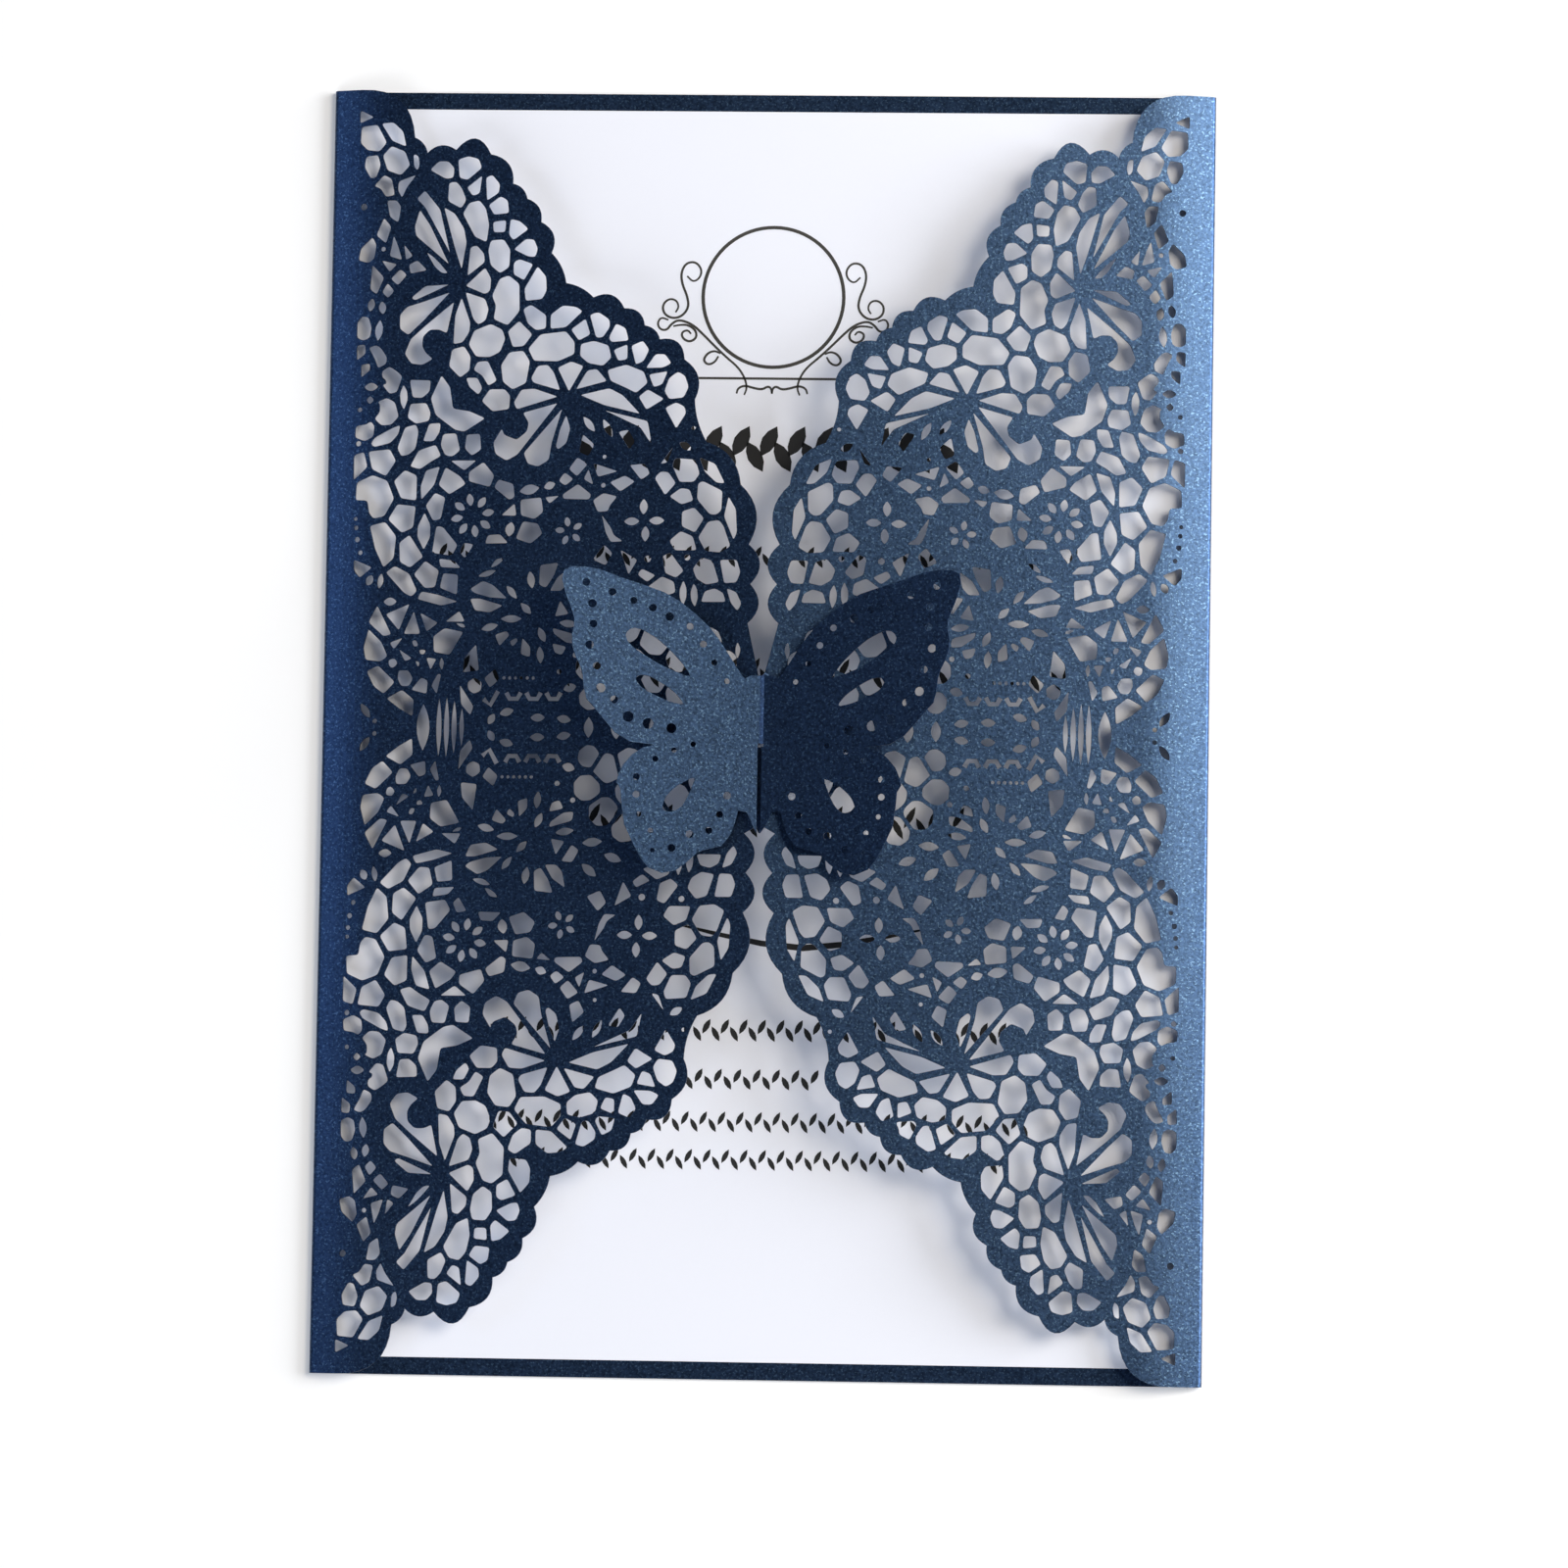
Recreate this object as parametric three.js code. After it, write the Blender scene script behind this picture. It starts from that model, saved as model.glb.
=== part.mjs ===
// Gatefold invitation card: one folded, cut-out sheet with a plain card lying inside.
// Millimetres. X runs across the card, Y up the card, Z up from the table it lies on.
// The sheet is a back panel with a gate folded over from each side. The gates carry
// lace, and each ends in a butterfly wing. The wings hook through each other's slot.

import * as THREE from 'three';

// Sizes.
const panelWidth = 127;        // back panel across the two folds
const panelHeight = 185;       // back panel along the folds
const sheetThickness = 0.3;    // pearl card of the folded sheet
const insertWidth = 121;       // plain card inside
const insertHeight = 180;
const insertThickness = 0.3;
const insertRest = 0.15;       // air between the back panel and the card inside
const foldRadius = 0.55;       // mid-sheet radius of the two folds
const foldSteps = 6;           // flats in each fold
const stripWidth = 3.6;        // plain strip between fold and lace
const stripSlope = 17;         // degrees that the strip rises from the fold
const gateSlope = 6.5;         // degrees that the lace rises towards the middle
const neckReach = 0.7;         // half length of the neck that joins gate and wing
const neckSlope = 35;          // degrees at the neck, where the gates cross
const wingSlope = 12;          // degrees of the inner half of a wing
const wingTipSlope = 8;        // degrees of the outer half of a wing
const wingBend = 14;           // distance of that change from the middle
const slotHalfWidth = 0.42;    // half width of the slots the sheets cross in
const slotMiddle = -2.5;       // height on the card where the two slots meet
const slotOverlap = 0.25;      // how far each slot runs past that height
const ribWidth = 0.6;          // lace between two holes
const lobeSteps = 3;           // straight pieces in one lobe of the edge

// Drawing of the lace.
// One quarter of the card is drawn: the upper half of the left gate, x from the middle
// (0) to the fold (-63.5), y from the middle (0) to the top (92.5). Sizes above stretch it.
const drawnHalfWidth = 63.5;
const drawnHalfHeight = 92.5;

// Edge of the gate: where two lobes meet, and how far the lobe after it stands out.
const lobes = [
  [-59.5, 92.5, 2.5], [-51.7, 85.4, 0.4], [-49.8, 83.1, 0.9], [-45.6, 83.5, 2.0],
  [-40.5, 82.8, 1.2], [-37.2, 78.5, 0.5], [-35.1, 76.3, 0.8], [-33.0, 72.9, 1.1],
  [-31.4, 68.4, 0.4], [-29.2, 64.0, 0.4], [-25.2, 61.9, 1.2], [-20.7, 60.3, 0.9],
  [-17.7, 57.8, 0.5], [-15.5, 55.8, 1.3], [-11.9, 52.9, 1.3], [-10.3, 47.1, -0.4],
  [-8.5, 41.0, 1.3], [-3.5, 34.9, 1.7], [-2.2, 26.3, 1.5], [-1.9, 20.6, 1.4],
  [-2.2, 15.0, 0.3],
];

// Holes of the net: x, y and radius. Neighbours share the lace between them.
const netHoles = [
  // corner and outer edge
  [-58.0, 85.5, 1.7], [-54.3, 82.0, 1.7], [-54.6, 86.1, 1.2], [-57.8, 81.4, 1.2],
  [-43.7, 81.0, 1.5], [-47.3, 80.7, 1.2], [-45.4, 77.0, 1.3], [-42.0, 73.3, 1.8],
  [-38.9, 68.2, 1.7], [-33.6, 63.5, 1.7], [-37.6, 61.6, 2.4], [-33.7, 59.1, 1.5],
  [-29.4, 59.2, 1.6], [-24.2, 58.0, 1.3], [-40.5, 55.6, 2.1], [-35.9, 56.5, 1.5],
  [-31.0, 55.1, 2.2], [-24.8, 54.0, 1.9], [-36.6, 51.6, 1.9], [-44.4, 52.8, 1.6],
  [-40.7, 51.3, 1.3], [-38.9, 47.2, 1.6], [-34.9, 69.1, 1.2], [-35.7, 66.2, 1.2],
  // beside the fold
  [-58.3, 68.9, 1.2], [-58.1, 57.6, 1.3], [-54.8, 50.3, 1.5], [-55.3, 45.5, 1.7],
  [-57.9, 42.9, 1.2], [-50.4, 45.5, 1.4], [-52.0, 41.2, 1.7], [-49.5, 38.9, 1.4],
  [-45.7, 40.8, 1.5], [-42.6, 40.8, 1.3],
  // inner edge
  [-19.9, 50.3, 2.0], [-13.0, 49.0, 1.6], [-12.9, 45.0, 1.3], [-11.4, 37.0, 1.7],
  [-7.9, 32.9, 1.9], [-4.8, 30.1, 1.3], [-10.5, 29.9, 1.4], [-11.6, 26.6, 1.4],
  [-7.1, 27.3, 2.0], [-8.3, 22.4, 1.6], [-4.8, 22.5, 1.4], [-14.4, 35.3, 1.2],
  // middle of the gate
  [-56.5, 33.5, 2.5], [-55.6, 38.4, 1.7], [-51.9, 34.9, 1.7], [-52.4, 30.2, 1.7],
  [-48.6, 35.5, 1.3], [-45.5, 35.4, 1.5], [-41.0, 36.3, 1.5], [-33.6, 31.6, 1.5],
  [-34.0, 28.1, 1.5], [-47.6, 31.7, 1.4], [-46.4, 26.6, 1.6], [-55.1, 26.7, 2.1],
  [-51.4, 25.2, 1.6], [-52.2, 21.1, 1.6], [-48.7, 21.9, 1.6], [-45.3, 20.8, 1.2],
  [-55.5, 15.1, 1.3], [-56.1, 11.3, 1.6], [-55.2, 6.9, 1.5], [-51.8, 3.7, 1.4],
  [-45.7, 12.5, 1.7], [-52.8, 16.0, 1.2], [-42.0, 9.5, 1.2],
];

// Long holes of the two fans and the scrolls round them, each as its corners.
const fanHoles = [
  [[-50.7, 74.6], [-51.3, 72.5], [-51.1, 71.2], [-46.5, 67.1], [-49.3, 72.5]],
  [[-50.1, 77.4], [-51.0, 76.5], [-46.3, 68.7], [-47.9, 74.8], [-49.4, 76.6]],
  [[-47.1, 75.0], [-45.3, 68.0], [-44.4, 66.0], [-44.0, 70.0], [-44.4, 72.0], [-45.8, 74.2]],
  [[-43.1, 69.2], [-43.5, 65.4], [-41.4, 67.2], [-41.5, 68.3], [-42.4, 69.4]],
  [[-43.6, 63.9], [-41.0, 62.9], [-40.4, 63.3], [-40.4, 64.7], [-41.2, 66.0]],
  [[-43.7, 62.6], [-42.6, 59.2], [-41.9, 58.4], [-41.0, 58.9], [-40.6, 60.3], [-41.2, 61.6]],
  [[-44.4, 61.9], [-45.2, 59.5], [-45.4, 55.5], [-44.2, 55.7], [-43.3, 57.1], [-43.2, 58.5]],
  [[-46.3, 62.7], [-50.0, 61.0], [-52.3, 60.6], [-53.2, 59.6], [-53.2, 57.7], [-52.1, 56.7],
    [-50.0, 58.6]],
  [[-45.9, 60.7], [-49.4, 58.4], [-51.6, 56.0], [-52.2, 54.0], [-51.5, 52.9], [-50.0, 52.6],
    [-50.2, 56.5], [-49.0, 57.6], [-46.6, 57.2]],
  [[-47.2, 50.6], [-48.6, 47.5], [-47.8, 45.0], [-43.6, 42.6], [-40.8, 44.4], [-45.5, 45.8],
    [-46.0, 49.0]],
  [[-36.4, 46.9], [-36.0, 46.0], [-30.4, 47.6], [-33.8, 48.7], [-35.4, 48.6]],
  [[-33.9, 50.3], [-33.6, 49.8], [-30.0, 48.7], [-30.9, 51.0], [-31.8, 52.1], [-33.0, 52.0]],
  [[-30.0, 51.7], [-28.5, 48.6], [-26.7, 51.9], [-28.3, 52.5]],
  [[-27.3, 48.8], [-23.3, 49.9], [-24.6, 51.4], [-25.8, 51.2]],
  [[-26.6, 47.8], [-23.3, 46.5], [-18.6, 45.2], [-20.9, 47.4], [-23.0, 48.4]],
  [[-31.0, 45.8], [-34.7, 44.7], [-34.4, 42.5], [-36.0, 41.2], [-38.9, 41.0], [-38.7, 39.6],
    [-37.4, 38.9], [-35.7, 39.7]],
  [[-29.5, 45.8], [-34.6, 39.4], [-34.2, 38.1], [-32.8, 37.7], [-31.4, 38.6], [-31.0, 41.0]],
  [[-28.9, 44.7], [-29.6, 43.0], [-29.9, 40.6], [-28.9, 41.0], [-28.4, 43.0]],
];

// Edge of a wing, drawn as the one on the left, from the top of the neck round to its foot.
const wingEdge = [
  [-1.5, 7.4], [-2.4, 6.9], [-4.5, 10.0], [-7.5, 14.2], [-11.5, 17.6], [-17.0, 20.0],
  [-23.0, 22.0], [-27.0, 22.3], [-28.2, 21.6], [-28.3, 20.5], [-26.5, 15.0], [-26.8, 12.5],
  [-25.6, 8.3], [-24.6, 3.5], [-22.0, 0.5], [-20.0, -1.6], [-18.3, -2.5], [-14.9, -2.8],
  [-18.0, -4.2], [-20.0, -7.3], [-19.4, -11.5], [-19.0, -14.2], [-16.6, -19.0],
  [-15.6, -20.2], [-13.6, -21.0], [-10.1, -19.4], [-7.7, -17.6], [-5.3, -17.0],
  [-3.4, -13.5], [-3.0, -11.9], [-1.8, -12.1], [-1.0, -13.8],
];
const neckTop = 7.4;
const bodyTip = -16.0;
const wingHoles = [
  [[-19.4, 12.8], [-17.0, 10.2], [-12.0, 7.6], [-9.8, 6.9], [-13.0, 10.8], [-17.2, 13.7],
    [-18.5, 13.8]],
  [[-17.9, 6.6], [-15.3, 4.4], [-10.7, 2.9], [-14.0, 6.0], [-15.8, 7.0]],
  [[-9.0, -7.1], [-10.1, -10.0], [-12.4, -12.4], [-13.9, -12.0], [-13.2, -10.0], [-11.5, -8.4]],
];

// Outline of one gate.
const stretchX = panelWidth / 2 / drawnHalfWidth;
const stretchY = panelHeight / 2 / drawnHalfHeight;
const stretched = ([x, y]) => [x * stretchX, y * stretchY];

// Points of the arc from one notch to the next, the last notch left out.
function lobe([x0, y0, height], [x1, y1]) {
  const chord = Math.hypot(x1 - x0, y1 - y0);
  const points = [];
  for (let i = 0; i < lobeSteps; i++) {
    const t = i / lobeSteps;
    const out = 4 * height * t * (1 - t);
    points.push([x0 + (x1 - x0) * t - ((y1 - y0) / chord) * out,
      y0 + (y1 - y0) * t + ((x1 - x0) / chord) * out]);
  }
  return points;
}

// The lace edge runs from the strip at the top to the notch above the neck.
function laceEdge() {
  const points = [];
  for (let i = 0; i < lobes.length - 1; i++) points.push(...lobe(lobes[i], lobes[i + 1]));
  points.push(lobes[lobes.length - 1].slice(0, 2));
  points[0] = [(-panelWidth / 2 + stripWidth) / stretchX, drawnHalfHeight];
  return points.map(stretched);
}

// Gate and wing of one side, drawn as the left gate: x runs from the strip over the
// middle to the wing's tip. The slot opens at the top or at the foot of the neck.
function gateOutline(slotAtTop) {
  const upper = laceEdge();
  const lower = upper.map(([x, y]) => [x, -y]).reverse();
  const wing = wingEdge.map(([x, y]) => [-x, y]);
  const s = slotHalfWidth;
  const end = slotMiddle + (slotAtTop ? -slotOverlap : slotOverlap);
  const top = slotAtTop
    ? [[-s - 0.2, neckTop + 0.6], [-s, neckTop - 0.4], [-s, end], [s, end], [s, neckTop]]
    : [[-s, neckTop + 0.6], [0, neckTop]];
  const foot = slotAtTop
    ? [[0, bodyTip + 1], [-s, bodyTip + 2]]
    : [[s, bodyTip + 1], [s, end], [-s, end], [-s, bodyTip + 2]];
  return [...upper, ...top, ...wing, ...foot, ...lower];
}

// Holes.
// Keeps the part of a polygon on the near side of a line through (px, py), normal (nx, ny).
function clip(polygon, px, py, nx, ny) {
  const side = ([x, y]) => (x - px) * nx + (y - py) * ny;
  const kept = [];
  polygon.forEach((a, i) => {
    const b = polygon[(i + 1) % polygon.length];
    const da = side(a);
    const db = side(b);
    if (da <= 0) kept.push(a);
    if (da * db < 0) {
      const t = da / (da - db);
      kept.push([a[0] + (b[0] - a[0]) * t, a[1] + (b[1] - a[1]) * t]);
    }
  });
  return kept;
}

// One hole of the net: a hexagon cut back by half a rib from every neighbour.
function netHole([x, y, r]) {
  let polygon = [];
  for (let k = 0; k < 6; k++) {
    const a = (k * Math.PI) / 3 + x;
    polygon.push([x + 1.2 * r * Math.cos(a), y + 1.2 * r * Math.sin(a)]);
  }
  for (const [u, v, q] of netHoles) {
    const d = Math.hypot(u - x, v - y);
    if (d < 1e-6 || d > 2.5 * (r + q)) continue;
    const reach = d / 2 + (r * r - q * q) / (2 * d) - ribWidth / 2;
    const [nx, ny] = [(u - x) / d, (v - y) / d];
    polygon = clip(polygon, x + nx * reach, y + ny * reach, nx, ny);
  }
  const stripEdge = (-panelWidth / 2 + stripWidth) / stretchX;
  return clip(polygon, stripEdge + ribWidth / 2, 0, -1, 0);
}

// Drops corners that lie closer together than a cutter would follow.
function cleaned(polygon) {
  return polygon.filter(([x, y], i) => {
    const [u, v] = polygon[(i + 1) % polygon.length];
    return Math.hypot(u - x, v - y) > 0.45;
  });
}

function gateHoles() {
  const quarter = [...netHoles.map(netHole), ...fanHoles].map(cleaned)
    .filter((h) => h.length > 2).map((h) => h.map(stretched));
  const lower = quarter.map((h) => h.map(([x, y]) => [x, -y]));
  const wing = wingHoles.map((h) => h.map(([x, y]) => [-x, y]));
  return [...quarter, ...lower, ...wing];
}

// Flat sheet as triangles.
// Places on the flat sheet are (u, y): u is 0 in the middle of the back panel, and a
// point of a gate lies foldLength further out than its distance from the fold.
const foldTurn = Math.PI - (stripSlope * Math.PI) / 180;
const foldLength = foldRadius * foldTurn;
const foldStart = panelWidth / 2 - foldRadius;
const gateStart = foldStart + foldLength;

function flatSheet() {
  const triangles = [];
  const quad = (u0, u1) => {
    const h = panelHeight / 2;
    triangles.push([[u0, -h], [u1, -h], [u1, h]], [[u0, -h], [u1, h], [u0, h]]);
  };
  quad(-foldStart, foldStart);
  for (const side of [1, -1]) {
    for (let i = 0; i < foldSteps; i++) {
      const at = [i, i + 1].map((k) => side * (foldStart + (foldLength * k) / foldSteps));
      quad(Math.min(...at), Math.max(...at));
    }
    const edges = [side * gateStart, side * (gateStart + stripWidth)];
    quad(Math.min(...edges), Math.max(...edges));

    // The right gate (side 1) has its slot at the foot, the left gate at the top.
    const outline = gateOutline(side < 0);
    const toFlat = ([x, y]) => new THREE.Vector2(side * (gateStart + x + panelWidth / 2), y);
    const contour = outline.map(toFlat);
    const holes = gateHoles().map((h) => h.map(toFlat));
    if (THREE.ShapeUtils.isClockWise(contour)) contour.reverse();
    holes.forEach((h) => { if (!THREE.ShapeUtils.isClockWise(h)) h.reverse(); });
    const all = [contour, ...holes].flat();
    for (const face of THREE.ShapeUtils.triangulateShape(contour, holes)) {
      triangles.push(face.map((k) => [all[k].x, all[k].y]));
    }
  }
  return triangles;
}

// Folding.
// The path of the sheet's middle surface on the right side, from the panel's middle out.
function foldPath() {
  const path = [{ u: 0, x: 0, z: sheetThickness / 2 }];
  const cx = foldStart;
  const cz = sheetThickness / 2 + foldRadius;
  for (let i = 0; i <= foldSteps; i++) {
    const a = -Math.PI / 2 + (foldTurn * i) / foldSteps;
    path.push({ u: foldStart + (foldLength * i) / foldSteps,
      x: cx + foldRadius * Math.cos(a), z: cz + foldRadius * Math.sin(a) });
  }
  const half = panelWidth / 2;
  const flats = [[stripWidth, stripSlope], [half - neckReach, gateSlope],
    [half + neckReach, neckSlope], [half + wingBend, wingSlope], [half + 30, wingTipSlope]];
  let from = 0;
  for (const [to, slope] of flats) {
    const last = path[path.length - 1];
    const run = to - from;
    path.push({ u: gateStart + to, x: last.x - run,
      z: last.z + run * Math.tan((slope * Math.PI) / 180) });
    from = to;
  }
  return path;
}

const path = foldPath();
const bendLines = path.slice(1, -1).map((p) => p.u);

// Normal of the sheet at bend k, long enough to keep the sheet's thickness.
function bendNormal(k) {
  const direction = (i) => {
    const [a, b] = [path[i], path[i + 1]];
    const d = Math.hypot(b.x - a.x, b.z - a.z);
    return [(b.x - a.x) / d, (b.z - a.z) / d];
  };
  const [ax, az] = direction(Math.max(k - 1, 0));
  const [bx, bz] = direction(Math.min(k, path.length - 2));
  const scale = 1 / (1 + ax * bx + az * bz);
  return [-(az + bz) * scale, (ax + bx) * scale];
}

// Folded place of a point of the flat sheet; level is +1 on the inner face, -1 outside.
function folded(u, y, level) {
  const side = u < 0 ? -1 : 1;
  const reach = Math.abs(u);
  let k = path.findIndex((p) => p.u > reach - 1e-6);
  k = k < 1 ? (k === 0 ? 1 : path.length - 1) : k;
  const [a, b] = [path[k - 1], path[k]];
  const t = (reach - a.u) / (b.u - a.u);
  const [na, nb] = [bendNormal(k - 1), bendNormal(k)];
  const offset = (level * sheetThickness) / 2;
  const x = a.x + (b.x - a.x) * t + (na[0] + (nb[0] - na[0]) * t) * offset;
  const z = a.z + (b.z - a.z) * t + (na[1] + (nb[1] - na[1]) * t) * offset;
  return [side * x, y, z];
}

// Splits every triangle that crosses the line u = at, so the sheet can bend there.
function splitAt(triangles, at) {
  const result = [];
  for (const triangle of triangles) {
    const off = triangle.map(([u]) => u - at);
    if (Math.min(...off) > -1e-6 || Math.max(...off) < 1e-6) { result.push(triangle); continue; }
    const parts = [[], []];
    triangle.forEach((a, i) => {
      const b = triangle[(i + 1) % 3];
      const [da, db] = [off[i], off[(i + 1) % 3]];
      if (da < 1e-6) parts[0].push(a);
      if (da > -1e-6) parts[1].push(a);
      if ((da < -1e-6 && db > 1e-6) || (da > 1e-6 && db < -1e-6)) {
        const [low, high] = da < db ? [a, b] : [b, a];
        const t = (at - low[0]) / (high[0] - low[0]);
        const cut = [at, low[1] + (high[1] - low[1]) * t];
        parts[0].push(cut);
        parts[1].push(cut);
      }
    });
    for (const part of parts) {
      for (let i = 1; i + 1 < part.length; i++) result.push([part[0], part[i], part[i + 1]]);
    }
  }
  return result;
}

// Gives the flat triangles their thickness and folds them into one closed surface.
function thickened(triangles) {
  const places = [];
  const found = new Map();
  const index = ([u, y]) => {
    const key = `${Math.round(u * 1e4)},${Math.round(y * 1e4)}`;
    if (!found.has(key)) { found.set(key, places.length); places.push([u, y]); }
    return found.get(key);
  };
  const faces = triangles.map((t) => t.map(index))
    .filter(([a, b, c]) => a !== b && b !== c && c !== a);
  const edges = new Set(faces.flatMap(([a, b, c]) => [`${a},${b}`, `${b},${c}`, `${c},${a}`]));
  const positions = [];
  for (const level of [-1, 1]) {
    for (const [u, y] of places) positions.push(...folded(u, y, level));
  }
  const n = places.length;
  const indices = [];
  for (const [a, b, c] of faces) {
    indices.push(a + n, b + n, c + n, a, c, b);
    for (const [p, q] of [[a, b], [b, c], [c, a]]) {
      if (!edges.has(`${q},${p}`)) indices.push(p, q, q + n, p, q + n, p + n);
    }
  }
  const geometry = new THREE.BufferGeometry();
  geometry.setAttribute('position', new THREE.Float32BufferAttribute(positions, 3));
  geometry.setIndex(indices);
  geometry.computeVertexNormals();
  return geometry;
}

function coverGeometry() {
  let triangles = flatSheet();
  for (const line of bendLines.slice(-4)) {
    triangles = splitAt(splitAt(triangles, line), -line);
  }
  return thickened(triangles);
}

// The two pieces.
const pearl = new THREE.MeshStandardMaterial({ color: 0x2c4a78, roughness: 0.45, metalness: 0.3 });
const white = new THREE.MeshStandardMaterial({ color: 0xf1f0f4, roughness: 0.6, metalness: 0 });

const cover = new THREE.Mesh(coverGeometry(), pearl);
cover.name = 'gatefold_cover';

const insertShape = new THREE.BoxGeometry(insertWidth, insertHeight, insertThickness);
insertShape.translate(0, 0, sheetThickness + insertRest + insertThickness / 2);
const insert = new THREE.Mesh(insertShape, white);
insert.name = 'insert_card';

const card = new THREE.Group();
card.name = 'wedding_invitation_card';
card.add(cover, insert);

export default card;
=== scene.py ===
import math

import bmesh
import bpy
from bpy.props import (FloatProperty, FloatVectorProperty, IntProperty,
                       PointerProperty)
from bpy.types import Operator, Panel, PropertyGroup
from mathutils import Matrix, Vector


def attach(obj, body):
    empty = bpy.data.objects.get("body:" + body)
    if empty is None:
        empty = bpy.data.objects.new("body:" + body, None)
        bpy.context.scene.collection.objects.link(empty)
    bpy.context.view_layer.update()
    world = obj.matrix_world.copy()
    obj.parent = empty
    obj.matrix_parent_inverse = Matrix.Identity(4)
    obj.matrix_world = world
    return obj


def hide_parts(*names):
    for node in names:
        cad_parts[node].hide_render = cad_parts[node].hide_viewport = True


bl_info = {
    "name": "Gatefold Invitation Card",
    "version": (1, 0, 0),
    "blender": (4, 5, 0),
    "location": "View3D > Sidebar > Card",
    "description": "Dresses a lace-cut gatefold card with its inner card and print",
    "category": "Add Mesh",
}

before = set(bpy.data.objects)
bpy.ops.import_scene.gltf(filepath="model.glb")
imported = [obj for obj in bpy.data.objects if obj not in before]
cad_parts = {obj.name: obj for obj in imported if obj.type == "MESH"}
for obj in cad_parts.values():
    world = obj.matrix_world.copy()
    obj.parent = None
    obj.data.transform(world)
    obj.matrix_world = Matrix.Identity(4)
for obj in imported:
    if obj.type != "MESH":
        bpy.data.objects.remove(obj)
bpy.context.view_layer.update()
MM = 0.001
ROOT = "root"

# Drawing of the lace. One quarter of the card is drawn in millimetres: the
# upper half of the left gate, x from the middle (0) to the fold (-63.5),
# y from the middle (0) to the top (92.5).
SPREAD = 0.18            # most that a side of a hole moves out towards its neighbour
FLAT_CORNER = 0.2        # sine below which the sides at a corner count as one line
LONGEST_MOVE = 1.6       # most that a corner moves, in moves of its sides
HOLE_ROUNDING = 0.35     # how far a corner of a hole is cut back
CORNER_SHARE = 0.42      # most of a side that one of its corners takes up
WING_ROUNDING = 0.8      # the same for the long holes of the wings
WING_DOT_SCALE = 1.12    # round holes of the wings against their drawn size
CELL_REACH = 1.22        # corner of a free cell, in radii
CELL_VIEW = 2.5          # a neighbour counts up to so many times both radii together
LEAST_SIDE = 0.12        # shorter sides of a cell are dropped
LOBE_STEPS = 8

# Notches of the gate's edge, and how far the lobe after each stands out.
LOBES = [
    (-59.5, 92.5, 2.5), (-51.7, 85.4, 0.4), (-49.8, 83.1, 0.9), (-45.6, 83.5, 2),
    (-40.5, 82.8, 1.2), (-37.2, 78.5, 0.5), (-35.1, 76.3, 0.8), (-33, 72.9, 1.1),
    (-31.4, 68.4, 0.4), (-29.2, 64, 0.4), (-25.2, 61.9, 1.2), (-20.7, 60.3, 0.9),
    (-17.7, 57.8, 0.5), (-15.5, 55.8, 1.3), (-11.9, 52.9, 1.3), (-10.3, 47.1, -0.4),
    (-8.5, 41, 1.3), (-3.5, 34.9, 1.7), (-2.2, 26.3, 1.5), (-1.9, 20.6, 1.4),
    (-2.2, 15, 0.3),
]

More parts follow.
